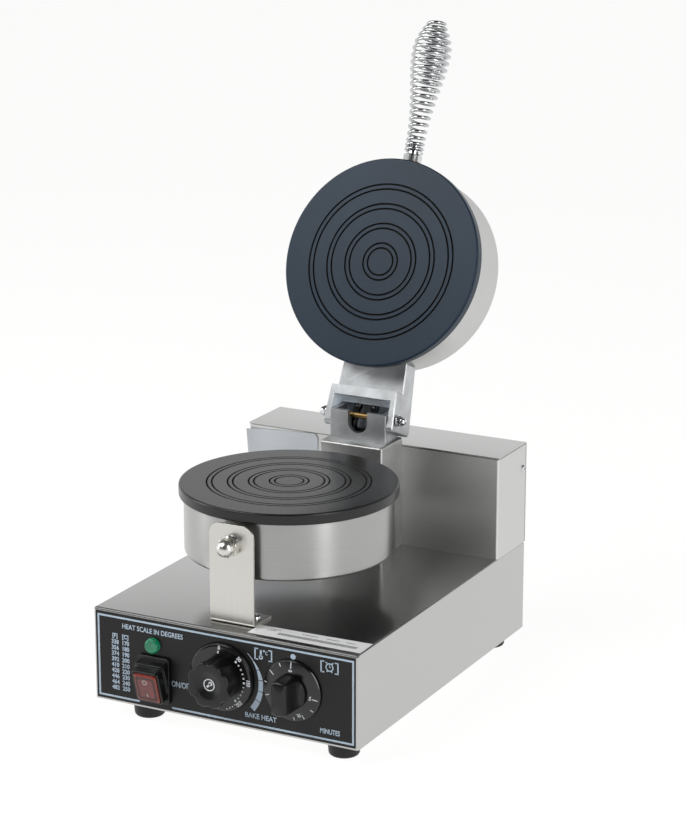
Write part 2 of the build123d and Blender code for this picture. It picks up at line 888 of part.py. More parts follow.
arm_screw_set = [
    screw(
        arm_screw_seat(sign),
        arm_screw_radius,
        arm_screw_length,
        arm_screw_head_radius,
        arm_screw_head_height,
    )
    for sign in (-1, 1)
]
save(Compound(arm_screw_set), "lid_arm_screws")


# Leads from the base through the pedestal, behind the hinge pin and along the arm into the upper pan
def duct_point(distance):
    """A point on the middle line of the arm's duct, at a distance from the hinge along the arm."""
    return lid.from_local_coords((0, distance, duct_depth))


def build_lead(x):
    """One insulated lead in its sleeve."""
    bend_foot = Vector(x, lead_y, hinge_height + lead_bend_start)
    bend_head = duct_point(lead_bend_end) + Vector(x, 0, 0)
    lead_end = duct_point(pan_inner_radius - lid_reach - lead_end_in_pan) + Vector(x, 0, 0)
    lead_start = Vector(x, lead_y, base_top - lead_end_in_base)
    with BuildPart() as lead:
        with BuildLine() as route:
            FilletPolyline(lead_start, bend_foot, bend_head, lead_end, radius=lead_bend_radius)
        with BuildSketch(Plane(origin=lead_start, z_dir=(0, 0, 1))):
            RegularPolygon(lead_radius, lead_sides)
        sweep(path=route.wire())
    return lead.part


save(Compound([build_lead(lead_left_x), build_lead(lead_right_x)]), "hinge_leads")

# Handle
grip = stud_plane(upper_face)
handle_stud_back = pan_radius - stud_nut_seat + stud_nut_height + stud_reach
ferrule_start = handle_bush_length + handle_washer_thickness
ferrule_bore_depth = ferrule_height + ferrule_spigot_length / 2
handle_stud_length = handle_stud_back + ferrule_start + ferrule_bore_depth - play
coil_spigot_radius = coil_base_radius - coil_wire_radius - gap
save(rod(grip.offset(-handle_stud_back), stud_radius, handle_stud_length), "handle_stud")
save(inner_stud_nut(upper_face), "handle_inner_nut")
save(ring(grip, handle_bush_radius, stud_radius + fit, handle_bush_length), "handle_bush")
save(
    ring(grip.offset(handle_bush_length), handle_washer_radius, stud_radius + fit, handle_washer_thickness),
    "handle_washer",
)

with BuildPart() as handle_ferrule:
    with BuildSketch(grip.offset(ferrule_start)):
        RegularPolygon(ferrule_flats / 2, 6, major_radius=False)
    extrude(amount=ferrule_height)
    with BuildSketch(grip.offset(ferrule_start)):
        Circle(coil_spigot_radius)
    extrude(amount=ferrule_height + ferrule_spigot_length)
    with BuildSketch(grip.offset(ferrule_start)):
        Circle(stud_radius + fit)
    extrude(amount=ferrule_bore_depth, mode=Mode.SUBTRACT)
save(handle_ferrule.part, "handle_ferrule")


# Coil of the handle: its pitch is close at the ferrule, and its radius swells towards the tip
def pitch_at(turn):
    """The coil's advance per turn, at a number of turns from the ferrule."""
    if turn < coil_base_turns:
        return coil_base_pitch + (coil_pitch - coil_base_pitch) * turn / coil_base_turns
    if turn > coil_turns - coil_tip_turns:
        return coil_tip_pitch + (coil_pitch - coil_tip_pitch) * (coil_turns - turn) / coil_tip_turns
    return coil_pitch


coil_step_count = round(coil_turns * coil_steps_per_turn)
coil_advance = [0.0]
for step in range(coil_step_count):
    middle_turn = (step + 0.5) / coil_steps_per_turn
    coil_advance.append(coil_advance[-1] + pitch_at(middle_turn) / coil_steps_per_turn)
coil_length = coil_advance[-1]
coil_start = grip.offset(ferrule_start + ferrule_height + gap + coil_wire_radius)


def radius_at(share):
    """The coil's radius at a share of its length."""
    if share < coil_widest_share:
        rise = (1 - cos(pi * (share / coil_widest_share) ** coil_swell)) / 2
        return coil_base_radius + (coil_widest_radius - coil_base_radius) * rise
    fall = cos(pi / 2 * (share - coil_widest_share) / (1 - coil_widest_share))
    return coil_tip_radius + (coil_widest_radius - coil_tip_radius) * fall


def coil_point(turn):
    """A point on the middle line of the coil's wire, in the coil's own frame."""
    step = min(max(round(turn * coil_steps_per_turn), 0), coil_step_count)
    radius = radius_at(coil_advance[step] / coil_length)
    angle = 2 * pi * turn
    return Vector(radius * cos(angle), radius * sin(angle), coil_advance[step])


def coil_tangent(turn):
    """The direction of the wire at a number of turns."""
    before = max(turn - 1 / coil_steps_per_turn, 0)
    after = min(turn + 1 / coil_steps_per_turn, coil_turns)
    return (coil_point(after) - coil_point(before)).normalized()


def biarc_joint(start, start_tangent, end, end_tangent):
    """The point where two tangent arcs between two directions meet."""
    span = end - start
    square = 2 * (1 - start_tangent.dot(end_tangent))
    linear = 2 * span.dot(start_tangent + end_tangent)
    reach = (sqrt(linear**2 + 4 * square * span.dot(span)) - linear) / (2 * square)
    return (start + start_tangent * reach + end - end_tangent * reach) / 2


half_turns = round(2 * coil_turns)
with BuildPart() as handle_coil:
    with BuildLine() as coil_path:
        first_tangent = coil_tangent(0)
        wire_start = coil_point(0) - first_tangent * 2 * coil_wire_radius
        Line(wire_start, coil_point(0))
        for half in range(half_turns):
            start = coil_point(half / 2)
            end = coil_point((half + 1) / 2)
            start_tangent = coil_tangent(half / 2)
            joint = biarc_joint(start, start_tangent, end, coil_tangent((half + 1) / 2))
            first_arc = TangentArc(start, joint, tangent=start_tangent)
            TangentArc(joint, end, tangent=first_arc % 1)
        last_tangent = coil_tangent(coil_turns)
        Line(coil_point(coil_turns), coil_point(coil_turns) + last_tangent * 2 * coil_wire_radius)
    with BuildSketch(Plane(origin=wire_start, z_dir=first_tangent)):
        RegularPolygon(coil_wire_radius, coil_wire_sides)
    sweep(path=coil_path.wire())
save(coil_start.location * handle_coil.part, "handle_coil")

samples_per_turn = 24
sample_count = round(coil_turns * samples_per_turn) + 1
coil_samples = [coil_point(index / samples_per_turn) for index in range(sample_count)]
least_gap = min(
    (coil_samples[first] - coil_samples[second]).length - 2 * coil_wire_radius
    for first in range(sample_count)
    for second in range(first + samples_per_turn // 2, min(first + 2 * samples_per_turn, sample_count))
)
print("Least gap between the coil's turns, in mm:", round(least_gap, 2))

# Places on the housing
base_half = base_width / 2
inner_half = base_half - sheet
foot_columns = (foot_inset_left - base_half, base_half - foot_inset_right)
foot_rows = (front_y + foot_inset_y, rear_y - foot_inset_y)
foot_places = [(x, y) for x in foot_columns for y in foot_rows]
housing_middle_y = (front_y + rear_y) / 2
box_wire_hole_y = rear_y - rear_box_depth / 2
gland_wall_hole = gland_thread_radius + fit
switch_cut_width = switch_body_width + 2 * fit
switch_cut_height = switch_body_height + 2 * fit
controls = (0, timer_x)


def panel_openings():
    """The openings that the front panel and its overlay share."""
    with BuildSketch(front) as openings:
        for control_x in controls:
            with Locations((control_x, knob_height)):
                Circle(bush_radius + fit)
        with Locations((lamp_x, lamp_height)):
            Circle(lamp_body_radius + fit)
        with Locations((switch_x, switch_height)):
            Rectangle(switch_cut_width, switch_cut_height)
    return openings.sketch


with BuildPart() as base_housing:
    add(folded_box(base_width, front_y, rear_y, base_bottom, base_top, bend_radius))
    add(
        folded_box(
            2 * inner_half,
            front_y + sheet,
            rear_y - sheet,
            floor_top + sheet,
            base_top - sheet,
            bend_radius - sheet,
        ),
        mode=Mode.SUBTRACT,
    )
    add(
        slab(-inner_half, inner_half, front_y + sheet, rear_y - sheet, base_bottom, floor_top),
        mode=Mode.SUBTRACT,
    )
    add(
        slab(
            -inner_half + flange_width,
            inner_half - flange_width,
            front_y + sheet + flange_width,
            rear_y - sheet - flange_width,
            floor_top,
            floor_top + sheet,
        ),
        mode=Mode.SUBTRACT,
    )
    add(extrude(panel_openings(), amount=-2 * sheet, mode=Mode.PRIVATE), mode=Mode.SUBTRACT)
    with BuildSketch(Plane(origin=(gland_x, rear_y, gland_height), z_dir=(0, 1, 0))):
        Circle(gland_wall_hole)
    extrude(amount=-2 * sheet, mode=Mode.SUBTRACT)
    with BuildSketch(Plane.XY.offset(base_top)):
        with Locations((0, bracket_screw_y)):
            with GridLocations(bracket_screw_spacing, 0, 2, 1):
                Circle(bracket_screw_radius + fit)
        with Locations((lead_middle_x, lead_y)):
            SlotOverall(lead_slot_length, lead_slot_width)
        with Locations((gland_x, box_wire_hole_y)):
            Circle(box_wire_hole_radius)
    extrude(amount=-2 * sheet, mode=Mode.SUBTRACT)
save(base_housing.part, "base_housing")

with BuildPart() as fascia_overlay:
    with BuildSketch(front):
        with Locations((0, base_bottom + overlay_bottom_margin)):
            Rectangle(
                base_width - 2 * overlay_margin,
                base_height - overlay_margin - overlay_bottom_margin,
                align=(Align.CENTER, Align.MIN),
            )
        add(panel_openings(), mode=Mode.SUBTRACT)
    extrude(amount=overlay_thickness)
save(fascia_overlay.part, "fascia_overlay")

with BuildPart() as bottom_cover:
    with BuildSketch(Plane.XY.offset(base_bottom)):
        with Locations((0, housing_middle_y)):
            Rectangle(2 * (inner_half - gap), base_depth - 2 * (sheet + gap))
        with Locations((0, housing_middle_y)):
            with GridLocations(0, vent_slot_pitch, 1, vent_slot_count):
                Rectangle(vent_slot_length, vent_slot_width, mode=Mode.SUBTRACT)
    extrude(amount=sheet)
save(bottom_cover.part, "bottom_cover")


def build_foot(x, y):
    """A rubber foot."""
    with BuildPart() as foot:
        with BuildSketch(Plane(origin=(x, y, 0), x_dir=(1, 0, 0), z_dir=(0, -1, 0))):
            with BuildLine():
                Polyline(
                    (0, foot_height),
                    (foot_top_radius, foot_height),
                    (foot_waist_radius, foot_waist_height),
                    (foot_shoulder_radius, foot_shoulder_height),
                    (foot_bottom_radius, 0),
                    (0, 0),
                    close=True,
                )
            make_face()
        revolve(axis=Axis((x, y, 0), (0, 0, 1)))
    return foot.part


save(Compound([build_foot(x, y) for x, y in foot_places]), "rubber_feet")

# Rear box: a body of front and sides, and a cover of top and back
box_body_rear = rear_y - sheet - cover_seam
box_body_top = rear_box_top - sheet - cover_seam
box_tab_half = inner_half - fit
box_tab_front = rear_y - box_tab_depth
box_tab_bottom = base_top + flange_width

with BuildPart() as rear_box_body:
    with BuildSketch(Plane.XY.offset(base_top)) as body_plan:
        with Locations((0, rear_box_front_y)):
            Rectangle(base_width, box_body_rear - rear_box_front_y, align=(Align.CENTER, Align.MIN))
        fillet(body_plan.vertices().group_by(Axis.Y)[0], bend_radius)
    extrude(amount=box_body_top - base_top)
    with BuildSketch(Plane.XY.offset(base_top + sheet)) as hollow_plan:
        with Locations((0, rear_box_front_y + sheet)):
            Rectangle(2 * inner_half, rear_box_depth, align=(Align.CENTER, Align.MIN))
        fillet(hollow_plan.vertices().group_by(Axis.Y)[0], bend_radius - sheet)
    extrude(amount=rear_box_height, mode=Mode.SUBTRACT)
    add(
        slab(
            -inner_half + flange_width,
            inner_half - flange_width,
            rear_box_front_y + sheet + flange_width,
            rear_y,
            base_top,
            base_top + sheet,
        ),
        mode=Mode.SUBTRACT,
    )
save(rear_box_body.part, "rear_box_body")

with BuildPart() as rear_box_cover:
    with BuildSketch(side) as cover_profile:
        with BuildLine():
            Polyline(
                (rear_box_front_y, rear_box_top),
                (rear_y, rear_box_top),
                (rear_y, base_top),
                (rear_y - sheet, base_top),
                (rear_y - sheet, rear_box_top - sheet),
                (rear_box_front_y, rear_box_top - sheet),
                close=True,
            )
        make_face()
        fillet(cover_profile.vertices().sort_by_distance((rear_y, rear_box_top))[0], bend_radius)
        fillet(
            cover_profile.vertices().sort_by_distance((rear_y - sheet, rear_box_top - sheet))[0],
            bend_radius - sheet,
        )
    extrude(amount=base_half, both=True)
    for sign in (-1, 1):
        tab_outer = sign * box_tab_half
        tab_inner = sign * (box_tab_half - sheet)
        add(
            slab(
                min(tab_outer, tab_inner),
                max(tab_outer, tab_inner),
                box_tab_front,
                rear_y - sheet,
                box_tab_bottom,
                rear_box_top - sheet,
            )
        )
save(rear_box_cover.part, "rear_box_cover")

# Controls
panel_back = front.offset(-sheet)
overlay_front = front.offset(overlay_thickness)
bush_length = sheet + overlay_thickness
dial_back_offset = overlay_thickness + dial_gap
knob_base_offset = dial_back_offset + dial_thickness


def at(plane, x, z):
    """A panel plane moved to a control's axis."""
    return Plane(origin=plane.from_local_coords((x, z, 0)), x_dir=plane.x_dir, z_dir=plane.z_dir)


def knob_section(x):
    """The level plane through a knob's axis: local X is the radius, and local Y points into the panel."""
    return Plane(origin=(x, front_y, knob_height), x_dir=(1, 0, 0), z_dir=(0, 0, 1))


def knob_axis(x):
    """A knob's own axis."""
    return Axis((x, front_y, knob_height), (0, -1, 0))


def build_control_body(x, bell_radius, bell_depth):
    """A control behind the panel, with its bush through the panel and a bell behind it."""
    with BuildPart() as body:
        with BuildSketch(at(panel_back, x, knob_height)):
            Rectangle(control_body_width, control_body_width)
        extrude(amount=-control_body_depth)
        with BuildSketch(at(panel_back, x, knob_height)):
            Circle(bush_radius)
        extrude(amount=bush_length)
        with BuildSketch(at(panel_back.offset(-control_body_depth), x, knob_height)):
            Circle(bell_radius)
        extrude(amount=-bell_depth)
        with BuildSketch(at(panel_back.offset(bush_length), x, knob_height)):
            Circle(shaft_radius + fit)
        extrude(amount=-bush_length - shaft_in_body, mode=Mode.SUBTRACT)
    return body.part


def build_shaft(x):
    """A control's shaft, flattened where the knob sits on it."""
    with BuildPart() as shaft:
        with BuildSketch(at(panel_back.offset(play - shaft_in_body), x, knob_height)):
            Circle(shaft_radius)
        extrude(amount=shaft_in_body - play + knob_base_offset + sheet + shaft_in_knob - play)
        with BuildSketch(at(front.offset(knob_base_offset), x, knob_height)):
            with Locations((0, shaft_radius - shaft_flat_depth)):
                Rectangle(2 * shaft_radius, 2 * shaft_flat_depth, align=(Align.CENTER, Align.MIN))
        extrude(amount=shaft_in_knob, mode=Mode.SUBTRACT)
    return shaft.part


def build_dial(x, radius):
    """A dial ring with a chamfered rim."""
    back = -dial_back_offset
    with BuildPart() as dial:
        with BuildSketch(knob_section(x)):
            with BuildLine():
                Polyline(
                    (dial_bore, back),
                    (radius, back),
                    (radius, back - dial_thickness + knob_edge),
                    (radius - knob_edge, back - dial_thickness),
                    (dial_bore, back - dial_thickness),
                    close=True,
                )
            make_face()
        revolve(axis=knob_axis(x))
    return dial.part


def shaft_bore(x):
    """The D-shaped bore that a knob and its spigot have for the shaft."""
    with BuildPart() as bore:
        with BuildSketch(at(front.offset(dial_back_offset), x, knob_height)):
            Circle(shaft_radius + fit)
        extrude(amount=dial_thickness)
        with BuildSketch(at(front.offset(knob_base_offset), x, knob_height)):
            Circle(shaft_radius + fit)
            with Locations((0, shaft_radius + fit - shaft_flat_depth)):
                Rectangle(
                    2 * shaft_radius,
                    2 * shaft_flat_depth,
                    align=(Align.CENTER, Align.MIN),
                    mode=Mode.SUBTRACT,
                )
        extrude(amount=shaft_in_knob)
    return bore.part


def build_spigot(x):
    """The short spigot with which a knob sits in its dial's bore."""
    return rod(at(front.offset(dial_back_offset), x, knob_height), dial_bore - fit, dial_thickness)


save(build_control_body(0, bush_radius, timer_bell_depth), "thermostat_body")
save(build_control_body(timer_x, timer_bell_radius, timer_bell_depth), "timer_body")
save(build_shaft(0), "thermostat_shaft")
save(build_shaft(timer_x), "timer_shaft")
save(build_dial(0, thermostat_dial_radius), "thermostat_dial")
save(build_dial(timer_x, timer_dial_radius), "timer_dial")

with BuildPart() as thermostat_knob:
    knob_foot = -knob_base_offset
    knob_front = knob_foot - thermostat_knob_length
    with BuildSketch(knob_section(0)):
        with BuildLine():
            Polyline(
                (0, knob_foot),
                (thermostat_knob_radius, knob_foot),
                (thermostat_knob_radius, knob_foot - thermostat_knob_straight),
                (thermostat_knob_front_radius, knob_front + knob_edge),
                (thermostat_knob_front_radius - knob_edge, knob_front),
                (knob_dimple_radius, knob_front),
                (knob_dimple_floor_radius, knob_front + knob_dimple_depth),
                (0, knob_front + knob_dimple_depth),
                close=True,
            )
        make_face()
    revolve(axis=knob_axis(0))
    add(build_spigot(0))
    with BuildSketch(at(front.offset(knob_base_offset + thermostat_knob_length), 0, knob_height)):
        with PolarLocations(thermostat_knob_radius + knob_lobe_radius, knob_lobe_count):
            Circle(knob_lobe_radius)
    extrude(amount=-thermostat_knob_length, mode=Mode.SUBTRACT)
    with BuildSketch(at(front.offset(knob_base_offset + thermostat_knob_length), 0, knob_height)):
        with Locations(Location((0, 0, 0), (0, 0, knob_pointer_angle))):
            with Locations((knob_dimple_radius, 0)):
                Rectangle(thermostat_knob_front_radius, knob_pointer_width, align=(Align.MIN, Align.CENTER))
    extrude(amount=-knob_pointer_depth, mode=Mode.SUBTRACT)
    add(shaft_bore(0), mode=Mode.SUBTRACT)
save(thermostat_knob.part, "thermostat_knob")

with BuildPart() as timer_knob:
    with BuildSketch(at(front.offset(knob_base_offset), timer_x, knob_height)):
        Circle(timer_knob_radius)
    extrude(amount=timer_knob_length)
    with BuildSketch(knob_section(timer_x)):
        for sign in (-1, 1):
            with BuildLine():
                Polyline(
                    (sign * timer_bar_front_width / 2, -knob_base_offset - timer_knob_length),
                    (sign * timer_bar_base_width / 2, -knob_base_offset - timer_bar_start),
                    (sign * 2 * timer_knob_radius, -knob_base_offset - timer_bar_start),
                    (sign * 2 * timer_knob_radius, -knob_base_offset - timer_knob_length),
                    close=True,
                )
            make_face()
    extrude(amount=timer_knob_radius, both=True, mode=Mode.SUBTRACT)
    chamfer(timer_knob.faces().sort_by(Axis.Y)[0].edges(), knob_edge)
    add(build_spigot(timer_x))
    add(shaft_bore(timer_x), mode=Mode.SUBTRACT)
save(timer_knob.part, "timer_knob")

# Pilot lamp
with BuildPart() as lamp_lens:
    with BuildSketch(at(overlay_front, lamp_x, lamp_height)):
        Circle(lamp_lens_radius)
    extrude(amount=lamp_lens_length)
    chamfer(lamp_lens.edges().sort_by(Axis.Y)[0], lamp_lens_edge)
save(lamp_lens.part, "lamp_lens")

with BuildPart() as lamp_body:
    with BuildSketch(at(overlay_front, lamp_x, lamp_height)):
        Circle(lamp_body_radius)
    extrude(amount=-lamp_body_length)
    with BuildSketch(at(panel_back, lamp_x, lamp_height)):
        Circle(lamp_collar_radius)
    extrude(amount=-lamp_collar_thickness)
save(lamp_body.part, "lamp_body")

# Power switch: the boot's collar and the rocker's pad lean together, and the pad sits above the pivot
tilt_sin = sin(radians(rocker_tilt))
tilt_cos = cos(radians(rocker_tilt))
pivot = Vector(switch_x, front_y + rocker_pivot_depth, switch_height)
rocker_plane = Plane(origin=pivot, x_dir=(1, 0, 0), z_dir=(0, -tilt_cos, -tilt_sin))
pad_plane = Plane(origin=pivot + rocker_plane.y_dir * rocker_lift, x_dir=(1, 0, 0), z_dir=rocker_plane.z_dir)
pivot_plane = Plane(origin=pivot, x_dir=(0, 1, 0), z_dir=(1, 0, 0))
collar_width = rocker_width + 2 * (gap + boot_collar_wall)
collar_height = rocker_height + 2 * (gap + boot_collar_wall)
step_width = rocker_width + 2 * (gap + boot_step_wall)
step_height = rocker_height + 2 * (gap + boot_step_wall)

with BuildPart() as switch_boot:
    with BuildSketch(at(overlay_front, switch_x, switch_height)):
        RectangleRounded(boot_width, boot_height, boot_corner_radius)
    extrude(amount=boot_thickness)
    chamfer(switch_boot.faces().sort_by(Axis.Y)[0].edges(), rocker_edge)
    with BuildSketch(pad_plane):
        RectangleRounded(step_width, step_height, boot_collar_corner_radius)
    extrude(amount=boot_step_reach)
    with BuildSketch(pad_plane):
        RectangleRounded(collar_width, collar_height, boot_collar_corner_radius)
    extrude(amount=boot_collar_reach)
    split(bisect_by=Plane(origin=overlay_front.origin, z_dir=(0, -1, 0)))
    with BuildSketch(pad_plane):
        Rectangle(rocker_width + 2 * gap, rocker_height + 2 * gap)
    extrude(amount=2 * boot_collar_reach, both=True, mode=Mode.SUBTRACT)
save(switch_boot.part, "switch_boot")

with BuildPart() as power_rocker:
    with BuildSketch(pad_plane.offset(rocker_reach - rocker_thickness)):
        RectangleRounded(rocker_width, rocker_height, rocker_corner_radius)
    extrude(amount=rocker_thickness)
    rocker_front = power_rocker.faces().sort_by(Axis(pivot, rocker_plane.z_dir))[-1]
    chamfer(rocker_front.edges(), rocker_edge)
    with BuildSketch(rocker_plane):
        Rectangle(rocker_stem_width, rocker_stem_height)
    extrude(amount=rocker_reach - rocker_thickness)
    with BuildSketch(pivot_plane):
        Circle(rocker_hub_radius)
    extrude(amount=rocker_stem_width / 2, both=True)
    with BuildSketch(pivot_plane):
        Circle(rocker_pin_radius)
    extrude(amount=rocker_pin_length / 2, both=True)
save(power_rocker.part, "power_rocker")

with BuildPart() as switch_body:
    with BuildSketch(at(overlay_front, switch_x, switch_height)):
        Rectangle(switch_body_width, switch_body_height)
    extrude(amount=-switch_body_depth)
    with BuildSketch(at(overlay_front, switch_x, switch_height)):
        Rectangle(switch_body_width - 2 * switch_body_wall, switch_body_height - 2 * switch_body_wall)
    extrude(amount=switch_body_floor - switch_body_depth, mode=Mode.SUBTRACT)
    with BuildSketch(pivot_plane):
        Circle(rocker_pin_radius + fit)
    extrude(amount=switch_body_width / 2, both=True, mode=Mode.SUBTRACT)
    with BuildSketch(at(overlay_front.offset(-switch_body_depth), switch_x, switch_height)):
        with GridLocations(0, switch_tab_pitch, 1, switch_tab_count):
            Rectangle(switch_tab_width, switch_tab_thickness)
    extrude(amount=-switch_tab_length)
save(switch_body.part, "switch_body")

# Terminal block and cable gland
with BuildPart() as terminal_block:
    block_y = rear_y - terminal_block_inset
    with BuildSketch(Plane.XY.offset(floor_top)):
        with Locations((gland_x, block_y)):
            Rectangle(terminal_block_width, terminal_block_depth)
    extrude(amount=terminal_block_height - terminal_block_step)
    with BuildSketch(Plane.XY.offset(floor_top)):
        with Locations((gland_x, block_y)):
            Rectangle(terminal_block_width, terminal_block_depth / 3)
    extrude(amount=terminal_block_height)
    with BuildSketch(Plane.XY.offset(floor_top)):
        with Locations((gland_x, block_y)):
            with GridLocations(terminal_post_pitch, 2 * terminal_block_depth / 3, terminal_post_count, 2):
                Circle(terminal_post_radius)
    extrude(amount=terminal_block_height - terminal_block_step + terminal_post_height)
save(terminal_block.part, "terminal_block")

gland_plane = Plane(origin=(gland_x, rear_y, gland_height), x_dir=(1, 0, 0), z_dir=(0, 1, 0))
gland_outer_length = gland_hex_height + gland_cap_height

with BuildPart() as cable_gland:
    with BuildSketch(gland_plane):
        RegularPolygon(gland_hex_flats / 2, 6, major_radius=False)
    extrude(amount=gland_hex_height)
    with BuildSketch(gland_plane):
        Circle(gland_cap_radius)
    extrude(amount=gland_outer_length)
    chamfer(cable_gland.edges().sort_by(Axis.Y)[-1], gland_cap_edge)
    with BuildSketch(gland_plane):
        Circle(gland_thread_radius)
    extrude(amount=-sheet - gland_inner_length)
    with BuildSketch(gland_plane.offset(gland_outer_length)):
        Circle(gland_bore)
    extrude(amount=-gland_outer_length - sheet - gland_inner_length, mode=Mode.SUBTRACT)
save(cable_gland.part, "cable_gland")
gland_nut_plane = gland_plane.offset(-sheet - gland_inner_nut_height)
save(hex_nut(gland_nut_plane, gland_hex_flats, gland_inner_nut_height, gland_wall_hole), "gland_nut")
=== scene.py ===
import json
from math import cos, pi, radians, sin, sqrt

import bmesh
import bpy
import numpy as np
from bpy.props import FloatProperty, FloatVectorProperty, IntProperty, PointerProperty
from mathutils import Matrix, Vector


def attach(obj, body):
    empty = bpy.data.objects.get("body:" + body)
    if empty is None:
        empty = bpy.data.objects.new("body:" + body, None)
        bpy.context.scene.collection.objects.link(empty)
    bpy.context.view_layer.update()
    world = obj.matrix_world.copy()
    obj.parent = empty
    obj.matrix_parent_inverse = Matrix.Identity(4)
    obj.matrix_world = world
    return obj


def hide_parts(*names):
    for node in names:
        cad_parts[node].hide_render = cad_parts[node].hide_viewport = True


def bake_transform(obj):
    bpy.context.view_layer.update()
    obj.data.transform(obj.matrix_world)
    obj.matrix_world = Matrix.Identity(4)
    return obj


bl_info = {
    "name": "Round waffle maker",
    "version": (1, 0, 0),
    "blender": (4, 5, 0),
    "location": "View3D > Sidebar > Waffle maker",
    "description": "Dresses the round waffle maker's frame with finished pieces, materials and a studio",
    "category": "Object",
}

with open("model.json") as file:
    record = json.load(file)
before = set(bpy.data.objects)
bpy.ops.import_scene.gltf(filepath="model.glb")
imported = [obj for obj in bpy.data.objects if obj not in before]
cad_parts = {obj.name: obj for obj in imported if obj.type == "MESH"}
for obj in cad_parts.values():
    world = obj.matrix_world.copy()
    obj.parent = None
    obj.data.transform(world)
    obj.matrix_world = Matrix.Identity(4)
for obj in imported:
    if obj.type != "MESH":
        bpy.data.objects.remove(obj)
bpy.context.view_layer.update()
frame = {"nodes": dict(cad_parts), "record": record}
NODES = frame["nodes"]
BODY_OF = {node: body for body, nodes in frame["record"]["behaviour"]["bodies"].items() for node in nodes}

# A millimetre, and the distance below which points merge, in metres
MM = 0.001
DOUBLE = 2e-6

# Sizes and places of the frame, in millimetres. FAR is beyond every size.
FRONT = -182.0
REAR = FRONT + 314.0
BOX_FRONT = REAR - 57.5
HALF_WIDTH = 120.5
FOOT = 14.0
BASE_TOP = FOOT + 78.5
FILM = 0.6
PLATE_TOP = BASE_TOP + 93.4
PAN_RADIUS = 86.0
PAN_WALL = 1.0
PAN_EDGE = 9.3
PAN_FLOOR = 57.2
STUD_Z = PLATE_TOP - 26.3
HINGE_Y = FRONT + 240.5
HINGE_Z = BASE_TOP + 115.4
HINGE_SIDE = 33.3
LID_REACH = 130.5
LEAD_LEVEL = 14.4
KNOB_Z = FOOT + 40.3
DIAL_TOP = 4.8
TIMER_X = 63.3
FAR = 99.0

# The lid's angle in the photo
OPEN = radians(112.5)


# Places in space, in millimetres
class Place:
    """An origin with three directions at right angles. Points in it come out in metres."""

    def __init__(self, origin, x_dir, z_dir):
        self.origin = np.array(origin, float)
        self.x = np.array(x_dir, float)
        self.z = np.array(z_dir, float)
        self.y = np.cross(self.z, self.x)

    def point(self, x, y, z):
        """The point at x, y and z, still in millimetres."""
        return self.origin + self.x * x + self.y * y + self.z * z

    def move(self, x, y, z=0):
        """The same directions from another origin."""
        return Place(self.point(x, y, z), self.x, self.z)

    def turned(self, angle):
        """The place turned about its own Z."""
        return Place(self.origin, self.x * cos(angle) + self.y * sin(angle), self.z)

    def out(self, x, y, z):
        """Arrays of local millimetres as points in metres."""
        x, y, z = np.broadcast_arrays(x, y, z)
        return (self.origin + x[..., None] * self.x + y[..., None] * self.y + z[..., None] * self.z) * MM

    def around(self, radius, angle, height):
        """Points about the place's Z, in metres: (r cos a, r sin a, h). The radius may vary with a."""
        return self.out(radius * np.cos(angle), radius * np.sin(angle), height + 0 * angle)


LEVEL = Place((0, 0, 0), (1, 0, 0), (0, 0, 1))
LID = Place((0, HINGE_Y, HINGE_Z), (1, 0, 0), (0, sin(OPEN), cos(OPEN)))
LOWER_FACE = Place((0, FRONT + 110.0, PLATE_TOP), (-1, 0, 0), (0, 0, -1))
UPPER_FACE = Place(LID.point(0, -LID_REACH, -20.0), LID.x, LID.z)
GRIP = Place(UPPER_FACE.point(0, -PAN_RADIUS, 26.3), UPPER_FACE.x, -UPPER_FACE.y)
PANEL = Place((0, FRONT - FILM, 0), (1, 0, 0), (0, -1, 0))


def knob_place(x, offset=0.0):
    """The place on a knob's axis, at a distance in front of the housing's face."""
    return Place((x, FRONT - offset, KNOB_Z), (1, 0, 0), (0, -1, 0))


def polar(radius, degrees):
    """The x and y of a point at a radius and an angle."""
    return radius * cos(radians(degrees)), radius * sin(radians(degrees))


# Meshes and pieces
def cleaned(mesh, angle, copied=False):
    """Merges the doubles of a mesh and shades it smooth up to an angle.

    A new mesh also has its faces turned outwards, and a CAD node's copy its triangles merged to whole faces.
    """
    work = bmesh.new()
    work.from_mesh(mesh)
    bmesh.ops.remove_doubles(work, verts=work.verts, dist=DOUBLE)
    if copied:
        flat = radians(0.5)
        edges, verts = work.edges, work.verts
        bmesh.ops.dissolve_limit(work, angle_limit=flat, verts=verts, edges=edges, delimit={"NORMAL"})
    else:
        bmesh.ops.recalc_face_normals(work, faces=work.faces)
    work.to_mesh(mesh)
    work.free()
    mesh.shade_smooth()
    mesh.set_sharp_from_angle(angle=radians(angle))
    return mesh


